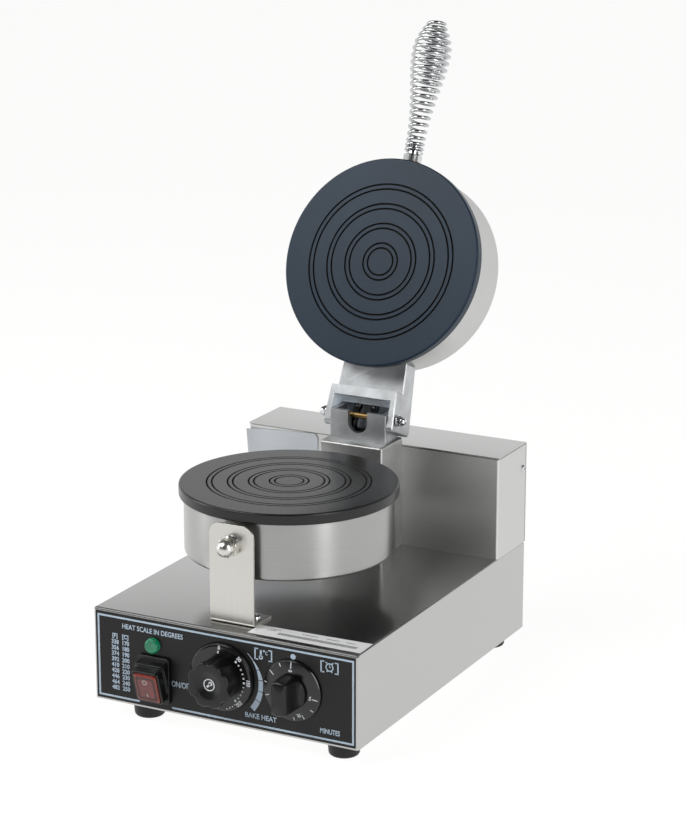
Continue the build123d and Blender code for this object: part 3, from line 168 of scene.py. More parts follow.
class Shape:
    """Points, faces and a flat map, gathered from one or more surfaces."""

    def __init__(self):
        self.points = []
        self.maps = []
        self.faces = []
        self.count = 0

    def add(self, points, faces, spread):
        """Adds points in metres, their faces, numbered on from the count, and places on the flat map."""
        self.faces += faces
        self.points.append(points)
        self.maps.append(spread)
        self.count += len(points)
        return self

    def grid(self, points, caps=(False, False), spread=None):
        """Adds a surface P(row, column): four-sided faces between neighbours, and flat ends where asked."""
        rows, columns = points.shape[:2]
        index = np.arange(rows * columns).reshape(rows, columns) + self.count
        quads = np.stack([index[:-1, :-1], index[:-1, 1:], index[1:, 1:], index[1:, :-1]], -1)
        faces = quads.reshape(-1, 4).tolist()
        if caps[0]:
            faces.append(index[0, :-1][::-1].tolist())
        if caps[1]:
            faces.append(index[-1, :-1].tolist())
        if spread is None:
            v, u = np.meshgrid(np.linspace(0, 1, rows), np.linspace(0, 1, columns), indexing="ij")
            spread = np.stack([u, v], -1)
        return self.add(points.reshape(-1, 3), faces, spread.reshape(-1, 2))

    def mesh(self, name, angle):
        """The finished mesh: seams merged, faces outwards, smooth up to an angle."""
        mesh = bpy.data.meshes.new(name)
        mesh.from_pydata(np.concatenate(self.points).tolist(), [], self.faces)
        corner = np.empty(len(mesh.loops), dtype=np.int32)
        mesh.loops.foreach_get("vertex_index", corner)
        layer = mesh.uv_layers.new(name="UVMap")
        layer.data.foreach_set("uv", np.concatenate(self.maps)[corner].astype(np.float32).ravel())
        return cleaned(mesh, angle)


def piece(name, shape, finish, slot, *replaces, body="base", angle=35.0, bends=False):
    """A shape or mesh made an object that wears a finish.

    It rides on the body of the CAD node that it replaces, or else on the one given. Where bends is set, it
    rides on no body.
    """
    mesh = shape.mesh(name, angle) if isinstance(shape, Shape) else shape
    obj = bpy.data.objects.new(name, mesh)
    bpy.context.scene.collection.objects.link(obj)
    mesh.materials.clear()
    mesh.materials.append(FINISH[finish])
    if replaces:
        body = BODY_OF[replaces[0]]
        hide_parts(*replaces)
    if not bends:
        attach(obj, body)
    return obj


def finished(node, shape, finish, slot, angle=35.0):
    """The piece that replaces one CAD node and is named after it."""
    return piece(node + "_finished", shape, finish, slot, node, angle=angle)


def soften(obj, width, angle):
    """A Bevel modifier that breaks an object's sharp edges, width in millimetres."""
    bevel = obj.modifiers.new("broken edges", "BEVEL")
    bevel.width = width * MM
    bevel.segments = 2
    bevel.limit_method = "ANGLE"
    bevel.angle_limit = radians(angle)
    bevel.harden_normals = True


def merged_copy(node, name, finish, slot, width=0.0, angle=30.0):
    """A CAD node's own shape, merged to whole faces. Its sharp edges are broken where a width is given."""
    mesh = cleaned(NODES[node].data.copy(), angle, copied=True)
    mesh.name = name
    obj = piece(name, mesh, finish, slot, node)
    if width > 0:
        soften(obj, width, angle)
    return mesh


def face_values(mesh, key):
    """A vector of each face, such as its center or normal."""
    values = np.empty(len(mesh.polygons) * 3)
    mesh.polygons.foreach_get(key, values)
    return values.reshape(-1, 3)


def repaint(mesh, *layers):
    """Gives the faces of each mask a finish of their own."""
    index = np.zeros(len(mesh.polygons), dtype=np.int32)
    for mask, finish in layers:
        index[mask] = len(mesh.materials)
        mesh.materials.append(FINISH[finish])
    mesh.polygons.foreach_set("material_index", index)


# Lines and surfaces
def closed(line):
    """A line that ends where it starts."""
    return np.concatenate([line, line[:1]])


def run_of(line):
    """The length along a line at each of its points."""
    return np.concatenate([[0], np.cumsum(np.linalg.norm(np.diff(line, axis=0), axis=1))])


def rounded(corners, radii, steps=6):
    """A run of straight lines whose corners are rounded: each corner gives way to an arc of its radius."""
    corners = np.array(corners, float)
    line = [corners[:1]]
    for corner, last, following, radius in zip(corners[1:-1], corners[:-2], corners[2:], radii):
        before = (last - corner) / np.linalg.norm(last - corner)
        after = (following - corner) / np.linalg.norm(following - corner)
        half = np.arccos(np.clip(before @ after, -1, 1)) / 2
        if radius <= 0 or abs(half - pi / 2) < 1e-4:
            line.append(corner[None])
            continue
        centre = corner + (before + after) / np.linalg.norm(before + after) * radius / sin(half)
        start = corner + before * radius / np.tan(half) - centre
        end = corner + after * radius / np.tan(half) - centre
        share = np.linspace(0, 1, steps + 1)[:, None]
        sweep = pi - 2 * half
        line.append(centre + (np.sin((1 - share) * sweep) * start + np.sin(share * sweep) * end) / sin(sweep))
    line.append(corners[-1:])
    return np.concatenate(line)


def divided(line, step):
    """The same line with more points on its long runs, so that it can bend."""
    parts = [line[:1]]
    for start, end in zip(line[:-1], line[1:]):
        count = max(int(np.ceil(np.linalg.norm(end - start) / step)), 1)
        parts.append(start + (end - start) * np.linspace(0, 1, count + 1)[1:, None])
    return np.concatenate(parts)


def turned(shape, profile, place, sides):
    """A profile of radius and height turned about a place's Z: (r cos a, r sin a, h)."""
    profile = np.array(profile, float)
    angle = np.linspace(0, 2 * pi, sides + 1)
    run = run_of(profile)[:, None] * MM
    spread = np.stack([angle / (2 * pi) + 0 * run, run + 0 * angle], -1)
    return shape.grid(place.around(profile[:, :1], angle, profile[:, 1:]), spread=spread)


def washer(shape, place, bore, radius, low, high, radii, sides=64):
    """A turned ring between two heights, whose outer edges are rounded."""
    profile = rounded([(bore, low), (radius, low), (radius, high), (bore, high)], radii, 3)
    return turned(shape, closed(profile), place, sides)


def hexed(shape, rows, place):
    """A hexagon nut: its radius is the least of a circle's and a hexagon's, apothem / cos(a mod 60)."""
    rows = np.array(rows, float)
    angle = np.linspace(0, 2 * pi, 73)
    lean = np.mod(angle + pi / 6, pi / 3) - pi / 6
    radius = np.minimum(rows[:, :1], rows[:, 1:2] / np.cos(lean))
    return shape.grid(place.around(radius, angle, rows[:, 2:]))


def nut_rows(flats, height, bore, edge):
    """The rows of a bored hexagon nut with both its ends turned to a chamfer: circle, hexagon, height."""
    apothem, corner = flats / 2, flats / sqrt(3)
    return [
        (bore, FAR, 0),
        (apothem * 1.01, apothem, 0),
        (corner, apothem, edge),
        (corner, apothem, height - edge),
        (apothem * 1.01, apothem, height),
        (bore, FAR, height),
        (bore, FAR, 0),
    ]


def dome_rows(flats, hex_height, dome_radius, height):
    """The rows of a dome nut: a hexagon with turned ends, a short neck and half a ball."""
    apothem, corner = flats / 2, flats / sqrt(3)
    lift = height - dome_radius
    ball = [(dome_radius * cos(a), FAR, lift + dome_radius * sin(a)) for a in np.linspace(0, pi / 2, 14)]
    return [
        (0, apothem, 0),
        (apothem * 1.01, apothem, 0),
        (corner, apothem, 0.5),
        (corner, apothem, hex_height - 0.8),
        (apothem * 0.99, apothem, hex_height),
        (dome_radius, FAR, hex_height),
    ] + ball


def tube(shape, line, side, radius, sides):
    """A round bar along a line: its section turns in the plane of the side direction and tangent x side."""
    along = np.gradient(line, axis=0)
    along /= np.linalg.norm(along, axis=1)[:, None]
    side = side - along * np.sum(side * along, axis=1)[:, None]
    side /= np.linalg.norm(side, axis=1)[:, None]
    up = np.cross(along, side)
    angle = np.linspace(0, 2 * pi, sides + 1)
    ring = np.cos(angle)[:, None] * side[:, None] + np.sin(angle)[:, None] * up[:, None]
    run = run_of(line)[:, None] * MM
    spread = np.stack([angle / (2 * pi) + 0 * run, run + 0 * angle], -1)
    return shape.grid((line[:, None] + ring * radius) * MM, caps=(True, True), spread=spread)


def rounded_rectangle(width, height, corner):
    """The x and y of a rounded rectangle, once round, or of one such rectangle in each row."""
    steps = 7
    angle = np.concatenate([np.linspace(0, pi / 2, steps) + i * pi / 2 for i in range(4)])
    sign_x, sign_y = np.repeat([1, -1, -1, 1], steps), np.repeat([1, 1, -1, -1], steps)
    angle, sign_x, sign_y = closed(angle), closed(sign_x), closed(sign_y)
    x = sign_x * np.maximum(width / 2 - corner, 0) + corner * np.cos(angle)
    y = sign_y * np.maximum(height / 2 - corner, 0) + corner * np.sin(angle)
    return x, y


def lofted(shape, place, sections):
    """Rounded rectangles joined one to the next. Each is width, height, corner radius and distance."""
    table = np.array(sections, float)
    width, height, corner, reach = (table[:, i : i + 1] for i in range(4))
    x, y = rounded_rectangle(width, height, corner)
    return shape.grid(place.out(x, y, reach + 0 * x))


def flat_ring(shape, place, outer, inner, thickness):
    """A flat frame between two rounded rectangles, each width, height and corner radius."""
    rows = [(*inner, 0), (*outer, 0), (*outer, thickness), (*inner, thickness)]
    return lofted(shape, place, rows + rows[:1])


def flat_plate(shape, place, size, thickness):
    """A thin plate with rounded corners, given as width, height and corner radius."""
    return lofted(shape, place, [(0, 0, 0, 0), (*size, 0), (*size, thickness), (0, 0, 0, thickness)])


def strip(shape, place, outline, thickness):
    """A thin flat plate of any outline, given as a closed run of points."""
    outline = closed(np.array(outline, float))
    level = np.array([[0.0], [thickness]])
    return shape.grid(place.out(outline[:, 0], outline[:, 1], level), caps=(True, True))


# Print
def bar(shape, place, start, end, width, thickness):
    """A thin straight line of print between two points."""
    start, end = np.array(start, float), np.array(end, float)
    along = (end - start) / np.linalg.norm(end - start)
    side = np.array([-along[1], along[0]]) * width / 2
    return strip(shape, place, [start - side, end - side, end + side, start + side], thickness)


def arc_band(shape, place, centre, inner, outer, angles, thickness):
    """A thin band along an arc. Its outer radius may change from the first angle to the last."""
    angle = np.radians(np.linspace(*angles, 13))
    turn = np.stack([np.cos(angle), np.sin(angle)], -1)
    edge = centre + np.linspace(*outer, 13)[:, None] * turn
    return strip(shape, place, np.concatenate([centre + inner * turn, edge[::-1]]), thickness)


def ring_mark(shape, place, centre, inner, outer, thickness, sides=32):
    """A thin printed ring about a point, or a dot where the inner radius is 0."""
    rows = [(inner, 0), (outer, 0), (outer, thickness), (inner, thickness), (inner, 0)]
    return turned(shape, rows, place.move(*centre), sides)


def lettering(shape, place, text, size, thickness, narrow, bold=0.1):
    """Flat characters centred on a place: the built-in font's outline, made a mesh and moved there."""
    curve = bpy.data.curves.new("characters", "FONT")
    curve.body = text
    curve.size = size
    curve.align_x = "CENTER"
    curve.align_y = "CENTER"
    curve.extrude = thickness / 2
    curve.offset = bold
    curve.resolution_u = 3
    holder = bpy.data.objects.new("characters", curve)
    mesh = bpy.data.meshes.new_from_object(holder)
    flat = np.empty(len(mesh.vertices) * 3, dtype=np.float32)
    mesh.vertices.foreach_get("co", flat)
    x, y, z = flat.reshape(-1, 3).astype(float).T
    faces = [[shape.count + corner for corner in polygon.vertices] for polygon in mesh.polygons]
    shape.add(place.out(x * narrow, y, z + thickness / 2), faces, np.zeros((len(x), 2)))
    bpy.data.objects.remove(holder)
    bpy.data.meshes.remove(mesh)
    bpy.data.curves.remove(curve)


# Materials
FINISH = {}
GROUPS = {}


def link(tree, source, target):
    """Joins two sockets."""
    tree.links.new(source, target)


def add_node(tree, kind, **values):
    """A node with its settings, and its inputs by name, where an underscore stands for a space."""
    node = tree.nodes.new("ShaderNode" + kind)
    for key, value in values.items():
        label = key.replace("_", " ")
        if label in node.inputs:
            node.inputs[label].default_value = value
        else:
            setattr(node, key, value)
    return node


def noise_group(name, size, detail, roughness, relief=0.0):
    """A shader group of noise, read from Vector, as a Mask and, with relief, as small bumps in Normal.

    Its size is an input: Scale, one number, or Stretch, a vector that squeezes the noise across the lines.
    Noise without relief is for soft patches, and has more contrast.
    """
    group = bpy.data.node_groups.new(name, "ShaderNodeTree")
    kinds = {"Scale": "NodeSocketFloat", "Stretch": "NodeSocketVector"}
    inputs = [("Vector", "NodeSocketVector"), (size, kinds[size])]
    outputs = [("Mask", "NodeSocketFloat")]
    if relief:
        inputs.append(("Depth", "NodeSocketFloat"))
        outputs.append(("Normal", "NodeSocketVector"))
    for in_out, sockets in (("INPUT", inputs), ("OUTPUT", outputs)):
        for label, kind in sockets:
            group.interface.new_socket(label, in_out=in_out, socket_type=kind)
    source, sink = group.nodes.new("NodeGroupInput"), group.nodes.new("NodeGroupOutput")
    noise = add_node(group, "TexNoise", Scale=1.0, Detail=detail, Roughness=roughness)
    vector = source.outputs["Vector"]
    if size == "Stretch":
        scaled = add_node(group, "VectorMath", operation="MULTIPLY")
        link(group, vector, scaled.inputs[0])
        link(group, source.outputs["Stretch"], scaled.inputs[1])
        vector = scaled.outputs[0]
    else:
        link(group, source.outputs["Scale"], noise.inputs["Scale"])
    link(group, vector, noise.inputs["Vector"])
    mask = noise.outputs["Fac"]
    if relief:
        bump = add_node(group, "Bump", Distance=relief)
        link(group, source.outputs["Depth"], bump.inputs["Strength"])
        link(group, mask, bump.inputs["Height"])
        link(group, bump.outputs["Normal"], sink.inputs["Normal"])
    else:
        spread = add_node(group, "MapRange", From_Min=0.3, From_Max=0.7)
        link(group, mask, spread.inputs["Value"])
        mask = spread.outputs["Result"]
    link(group, mask, sink.inputs["Mask"])
    return group


NOISE = {
    "brushed lines": ("Stretch", 3.0, 0.6, 0.00002),
    "fine grain": ("Scale", 4.0, 0.65, 0.00005),
    "soft patches": ("Scale", 5.0, 0.55),
}


def group_node(tree, name, vector, **values):
    """A shared noise group placed in a material. The group is built the first time that it is asked for."""
    if name not in GROUPS:
        GROUPS[name] = noise_group(name, *NOISE[name])
    node = tree.nodes.new("ShaderNodeGroup")
    node.node_tree = GROUPS[name]
    link(tree, vector, node.inputs["Vector"])
    for key, value in values.items():
        node.inputs[key].default_value = value
    return node


def start_material(name, metallic=0.0, ior=1.45, coat=0.0, transmission=0.0):
    """A material, kept in FINISH under its name, with its Principled shader and its own coordinates."""
    material = FINISH[name] = bpy.data.materials.new(name)
    material.use_nodes = True
    tree = material.node_tree
    shader = tree.nodes["Principled BSDF"]
    shader.inputs["Metallic"].default_value = metallic
    shader.inputs["IOR"].default_value = ior
    shader.inputs["Coat Weight"].default_value = coat
    shader.inputs["Coat Roughness"].default_value = 0.1
    shader.inputs["Transmission Weight"].default_value = transmission
    return tree, shader, tree.nodes.new("ShaderNodeTexCoord")


def between(tree, mask, low, high, target):
    """Feeds a socket with a value that a mask carries from low to high."""
    spread = add_node(tree, "MapRange", To_Min=low, To_Max=high)
    link(tree, mask, spread.inputs["Value"])
    link(tree, spread.outputs["Result"], target)


def times(colour, share):
    """A colour scaled by a share, or by one share for each channel."""
    return tuple(np.array(colour) * share)


def shade(tree, mask, colour, low, high, shader):
    """Feeds a shader's colour with a mix of a colour's darker and lighter shares by a mask."""
    mix = add_node(tree, "Mix", data_type="RGBA")
    mix.inputs["A"].default_value = (*times(colour, low), 1.0)
    mix.inputs["B"].default_value = (*times(colour, high), 1.0)
    link(tree, mask, mix.inputs["Factor"])
    link(tree, mix.outputs["Result"], shader.inputs["Base Color"])


ALONG_X, ALONG_Z, ROUND_PAN = (12.0, 1800.0, 1800.0), (1800.0, 1800.0, 12.0), (9.0, 1500.0, 1.0)


def brushed_metal(name, colour, stretch=ALONG_X, rough=(0.2, 0.28), depth=0.2, tone=0.06, streak=0.0):
    """Brushed metal: fine lines in tone, gloss and relief, with faint handling marks over them.

    Where it has a streak, its lines follow the flat map, and its highlights are drawn out across them.
    """
    tree, shader, place = start_material(name, metallic=1.0)
    vector = place.outputs["UV" if streak else "Object"]
    lines = group_node(tree, "brushed lines", vector, Stretch=stretch, Depth=depth)
    patches = group_node(tree, "soft patches", place.outputs["Object"], Scale=9.0)
    shade(tree, lines.outputs["Mask"], colour, 1 - tone, 1 + tone, shader)
    both = add_node(tree, "Mix", Factor=0.3 if streak else 0.2)
    link(tree, lines.outputs["Mask"], both.inputs[2])
    link(tree, patches.outputs["Mask"], both.inputs[3])
    between(tree, both.outputs[0], *rough, shader.inputs["Roughness"])
    if streak:
        shader.inputs["Anisotropic"].default_value = streak
        shader.inputs["Anisotropic Rotation"].default_value = 0.25
        tangent = add_node(tree, "Tangent", direction_type="UV_MAP", uv_map="UVMap")
        link(tree, tangent.outputs["Tangent"], shader.inputs["Tangent"])
    link(tree, lines.outputs["Normal"], shader.inputs["Normal"])


def grained(name, colour, rough, scale, depth, metallic=0.0, coat=0.0, tone=0.15, patch=14.0, level=0.5):
    """A surface of fine grain, such as a casting, a coating or moulded plastic."""
    tree, shader, place = start_material(name, metallic=metallic, coat=coat)
    shader.inputs["Specular IOR Level"].default_value = level
    grain = group_node(tree, "fine grain", place.outputs["Object"], Scale=scale, Depth=depth)
    patches = group_node(tree, "soft patches", place.outputs["Object"], Scale=patch)
    shade(tree, patches.outputs["Mask"], colour, 1 - tone, 1 + tone, shader)
    between(tree, grain.outputs["Mask"], *rough, shader.inputs["Roughness"])
    link(tree, grain.outputs["Normal"], shader.inputs["Normal"])


def tinted_lens(name, colour, rough, transmission):
    """Translucent coloured plastic with faint streaks inside."""
    tree, shader, place = start_material(name, ior=1.49, transmission=transmission, coat=0.4)
    patches = group_node(tree, "soft patches", place.outputs["Object"], Scale=160.0)
    shade(tree, patches.outputs["Mask"], colour, 0.75, 1.2, shader)
    between(tree, patches.outputs["Mask"], rough * 0.8, rough * 1.3, shader.inputs["Roughness"])


def build_materials(colours):
    """All the finishes of the waffle maker."""
    steel, cast, lower, bright = colours.steel, colours.cast, colours.lower, colours.bright
    brushed_metal("sheet_steel", steel)
    # The pans are one steel: painted shade makes the lower pan's copy darker, painted light the lid pan's
    # copy lighter.
    brushed_metal("pan_steel_painted_shade", times(steel, 0.8), ROUND_PAN, (0.22, 0.4), 0.3, 0.12, streak=0.75)
    brushed_metal("lid_pan_steel_painted_light", times(steel, 1.15), ROUND_PAN, (0.22, 0.4), 0.3, 0.1, streak=0.75)
    # Painted shade: a dark copy of the steel for the housing's fold above the panel.
    brushed_metal("fold_painted_shade", times(steel, 0.35), ALONG_X, (0.36, 0.44), 0.12)
    # Painted shade: the housing top wears a darker copy of the same steel; its lower roughness is its finish.
    brushed_metal("top_steel_painted_shade", times(steel, 0.8), ALONG_X, (0.16, 0.22), 0.12)
    # Painted light: the bracket wears a lighter, warmer copy of the steel.
    brushed_metal("bracket_steel_painted_light", times(steel, (1.28, 1.26, 1.2)), ALONG_Z, (0.3, 0.38), 0.1)
    # Painted light: the rear box's body wears a lighter copy of the steel, with a rougher satin finish.
    brushed_metal("satin_steel_painted_light", times(steel, 1.25), ALONG_X, (0.36, 0.44), 0.15)
    grained("pedestal_steel", times(steel, 0.98), (0.36, 0.5), 700.0, 0.3, 1.0, tone=0.14, patch=60.0)
    grained("nut_metal", (0.7, 0.68, 0.64), (0.24, 0.32), 700.0, 0.03, 1.0, tone=0.04)
    grained("cast_metal", cast, (0.36, 0.5), 700.0, 0.4, 1.0, tone=0.16, patch=70.0)
    grained("raw_casting", times(cast, 0.75), (0.46, 0.58), 700.0, 0.4, 1.0, tone=0.16, patch=70.0)
    # Painted light: the walls inside the arm's window are pale and not metal, a painted lit wall.
    grained("inner_casting_painted_light", (0.8, 0.86, 0.92), (0.4, 0.5), 700.0, 0.3, tone=0.08, patch=70.0)
    # The plates share one coating: the upper plate's bluish copy is painted light, the lower plate's darker
    # copy painted shade.
    grained("upper_coating", colours.coating, (0.32, 0.42), 2600.0, 0.3, patch=9.0, level=0.36)
    grained("lower_coating", lower, (0.24, 0.32), 2600.0, 0.2, tone=0.12, patch=9.0)
    # Painted shade: a darker copy of the coating for the ring grooves.
    grained("groove_coating", times(lower, 0.4), (0.45, 0.55), 2600.0, 0.2, level=0.24)
    grained("bright_metal", bright, (0.08, 0.16), 700.0, 0.04, 1.0, tone=0.04)
    grained("spring_wire", times(bright, 0.82), (0.14, 0.2), 900.0, 0.004, 1.0, tone=0.05)
    grained("copper", colours.copper, (0.25, 0.4), 900.0, 0.1, 1.0)
    grained("brass", colours.brass, (0.32, 0.45), 900.0, 0.1, 1.0)
    grained("panel_film", colours.panel, (0.3, 0.4), 1800.0, 0.06, tone=0.1, level=0.38)
    grained("satin_black", colours.plastic, (0.26, 0.36), 1800.0, 0.1)
    grained("dial_black", colours.plastic, (0.14, 0.22), 1800.0, 0.04, coat=0.3)
    grained("soft_rubber", times(colours.plastic, 0.6), (0.42, 0.58), 1400.0, 0.15, tone=0.2)
    grained("lead_sleeve", times(colours.plastic, 0.9), (0.06, 0.14), 900.0, 0.1, coat=1.0, tone=0.2)
    grained("pale_print", colours.ink, (0.4, 0.5), 2500.0, 0.02, tone=0.05)
    grained("dial_print", (0.88, 0.92, 0.96), (0.4, 0.5), 2500.0, 0.02, tone=0.05)
    tinted_lens("green_lens", colours.lens, 0.12, 0.25)
    tinted_lens("red_rocker", colours.rocker, 0.25, 0.1)
    tinted_lens("red_rocker_rim", colours.rim, 0.2, 0.1)
    grained("rocker_band", colours.band, (0.25, 0.35), 1500.0, 0.05)
    grained("rocker_marks", (0.62, 0.58, 0.56), (0.35, 0.45), 1500.0, 0.05)
    grained("bare_label", colours.label, (0.35, 0.5), 1600.0, 0.03, coat=0.2, tone=0.03)
    grained("bare_nameplate", colours.nameplate, (0.3, 0.4), 1500.0, 0.04, coat=0.1, tone=0.03)
    grained("mineral_wool", (0.66, 0.6, 0.48), (0.8, 0.95), 500.0, 0.8, tone=0.2)
    grained("heater_sheath", (0.22, 0.2, 0.18), (0.4, 0.55), 700.0, 0.2, 1.0)
    grained("glazed_ceramic", (0.75, 0.72, 0.65), (0.15, 0.25), 600.0, 0.05, tone=0.03)


KEPT_NODES = {
    "sheet_steel": ("bottom_cover", "pan_carrier_tube"),
    "bright_metal": (
        "bracket_nuts",
        "bracket_stud",
        "carrier_nuts",
        "gland_nut",
        "handle_inner_nut",
        "handle_stud",
        "lid_arm_screws",
        "thermostat_body",
        "thermostat_shaft",
        "timer_body",
        "timer_shaft",
    ),
    "brass": ("hinge_pin", "temperature_sensor"),
    "satin_black": ("lamp_body", "switch_body"),
    "heater_sheath": ("lower_heating_element", "upper_heating_element"),
    "mineral_wool": ("lower_insulation", "upper_insulation"),
    "glazed_ceramic": ("terminal_block",),
}


# Settings
def tint(name, description, default):
    """A colour that a user may change."""
    return FloatVectorProperty(
        name=name, description=description, subtype="COLOR", default=default, min=0, max=1
    )


def length(name, description, default, low=0.0):
    """A length in metres that a user may change."""
    return FloatProperty(name=name, description=description, unit="LENGTH", default=default, min=low)


def strength(name, description, default):
    """The power of a lamp or the brightness of a part of the room."""
    return FloatProperty(name=name, description=description, default=default, min=0)


def heading(name, description, degrees):
    """An angle of the camera."""
    return FloatProperty(name=name, description=description, subtype="ANGLE", default=radians(degrees))


class BakerColours(bpy.types.PropertyGroup):
    """Colours that a user may change"""

    steel: tint("Steel", "Brushed sheet", (0.505, 0.505, 0.5))
    cast: tint("Casting", "Hinge castings", (0.53, 0.545, 0.557))
    # The upper plate's bluish colour holds painted light, and the lower plate's darker colour painted shade.
    coating: tint("Coating", "Upper baking plate", (0.0095, 0.0248, 0.046))
    lower: tint("Lower coating", "Lower baking plate", (0.0095, 0.01, 0.01))
    bright: tint("Plating", "Nuts and spring", (0.66, 0.67, 0.68))
    copper: tint("Copper", "Handle washer", (0.42, 0.22, 0.14))
    brass: tint("Brass", "Hinge pin", (0.3, 0.2, 0.08))
    panel: tint("Panel", "Front film", (0.0075, 0.007, 0.007))
    plastic: tint("Plastic", "Knobs and boot", (0.005, 0.005, 0.005))
    ink: tint("Ink", "Printed marks", (0.58, 0.71, 0.84))
    lens: tint("Lamp", "Lamp lens", (0.002, 0.32, 0.15))
    rocker: tint("Rocker", "Rocker face", (0.22, 0.028, 0.026))
    rim: tint("Rocker rim", "Rocker edge", (0.3, 0.035, 0.022))
    band: tint("Rocker band", "Dark frame on the rocker", (0.075, 0.03, 0.026))
    label: tint("Label", "Bare label", (0.93, 0.94, 0.94))
    nameplate: tint("Nameplate", "Bare plate", (0.74, 0.78, 0.82))


class BakerSizes(bpy.types.PropertyGroup):
    """Sizes that a user may change"""

    plate_radius: length("Plate radius", "Radius of a baking plate", 0.09, 0.05)
    groove_width: length("Groove width", "Width of a ring groove", 0.0016, 0.0002)
    groove_depth: length("Groove depth", "Depth of a ring groove", 0.0012, 0.0001)
    wire_radius: length("Wire radius", "Radius of the handle's wire", 0.0015, 0.0005)
    coil_turns: IntProperty(name="Turns", description="Turns of the handle's coil", default=20, min=4)
    edge: length("Broken edge", "Width of the broken edges", 0.0004)
    print_height: length("Print height", "Thickness of the printed marks", 0.00006)


class BakerStudio(bpy.types.PropertyGroup):
    """The camera and the lamps"""

    azimuth: heading("Azimuth", "Camera angle round the object", 27.69)
    elevation: heading("Elevation", "Camera angle above the table", 15.74)
    distance: length("Distance", "Camera distance", 2.17861, 0.2)
    lens: FloatProperty(name="Lens", description="Focal length in millimetres", default=118.35, min=10)
    target: FloatVectorProperty(
        name="Target",
        description="Point that the camera faces",
        subtype="XYZ",
        default=(0.03632, -0.047, 0.24456),
    )
    key_power: strength("Key light", "Power of the key light", 25.0)
    fill_power: strength("Fill light", "Power of the fill light", 6.0)
    strip_power: strength("Strip lights", "Power of each strip light", 9.0)
    front_tone: strength("Front tone", "Brightness of the room in front", 0.14)
    top_share: strength("Top share", "Brightness of the room overhead", 0.12)
    back_tone: strength("Back tone", "Brightness of the room behind", 1.3)


# Pieces
class BAKER_OT_finish_nodes(bpy.types.Operator):
    """Gives every frame node that stays its own finish"""

    bl_idname = "baker.finish_nodes"
    bl_label = "Finish the kept nodes"

    def execute(self, context):
        build_materials(context.scene.baker_colours)
        for finish, nodes in KEPT_NODES.items():
            for node in nodes:
                NODES[node].data.materials.clear()
                NODES[node].data.materials.append(FINISH[finish])
        return {"FINISHED"}


class BAKER_OT_sheet_metal(bpy.types.Operator):
    """Finishes the housing, rear box, bracket, pedestal and hinge castings with broken edges"""

    bl_idname = "baker.sheet_metal"
    bl_label = "Housing and hinge"

    def execute(self, context):
        edge = context.scene.baker_sizes.edge / MM
        housing = merged_copy("base_housing", "housing_finished", "sheet_steel", "stainless_steel")
        normal, middle = face_values(housing, "normal"), face_values(housing, "center") / MM
        # Painted shade: the faces of the fold above the panel are painted dark.
        front_fold = (middle[:, 1] < FRONT + 5.0) & (normal[:, 1] < -0.1) & (normal[:, 2] > 0.1)
        # Painted shade: the top faces take the darker copy of the steel.
        repaint(housing, (normal[:, 2] > 0.9, "top_steel_painted_shade"), (front_fold, "fold_painted_shade"))
        # Painted light: the box body's steel is a lighter copy of the cover's.
        merged_copy("rear_box_body", "rear_box_finished", "satin_steel_painted_light", "stainless_steel")
        merged_copy("rear_box_cover", "rear_cover_finished", "sheet_steel", "stainless_steel")
        # Painted light: the bracket's steel is a lighter, warmer copy.
        merged_copy("front_bracket", "bracket_finished", "bracket_steel_painted_light", "stainless_steel", edge * 0.6)
        merged_copy("hinge_pedestal", "pedestal_finished", "pedestal_steel", "stainless_steel")
        merged_copy("hinge_block", "hinge_block_finished", "cast_metal", "cast_steel", edge)
        merged_copy("fascia_overlay", "fascia_finished", "panel_film", "black_panel")

        arm = merged_copy("lid_arm", "lid_arm_finished", "cast_metal", "cast_steel", edge)
        x, y, z = ((face_values(arm, "center") / MM - LID.origin) @ np.stack([LID.x, LID.y, LID.z], 1)).T
        in_window = (np.abs(x) < 27.3) & (z > -7.0) & (z < 21.8) & (y > -15.8) & (y < 9.0)
        raw_face = (np.abs(z - 5.6) < 0.3) & ~in_window
        # Painted light: the faces inside the window wear the pale, lit-looking finish.
        repaint(arm, (in_window, "inner_casting_painted_light"), (raw_face, "raw_casting"))
        return {"FINISHED"}


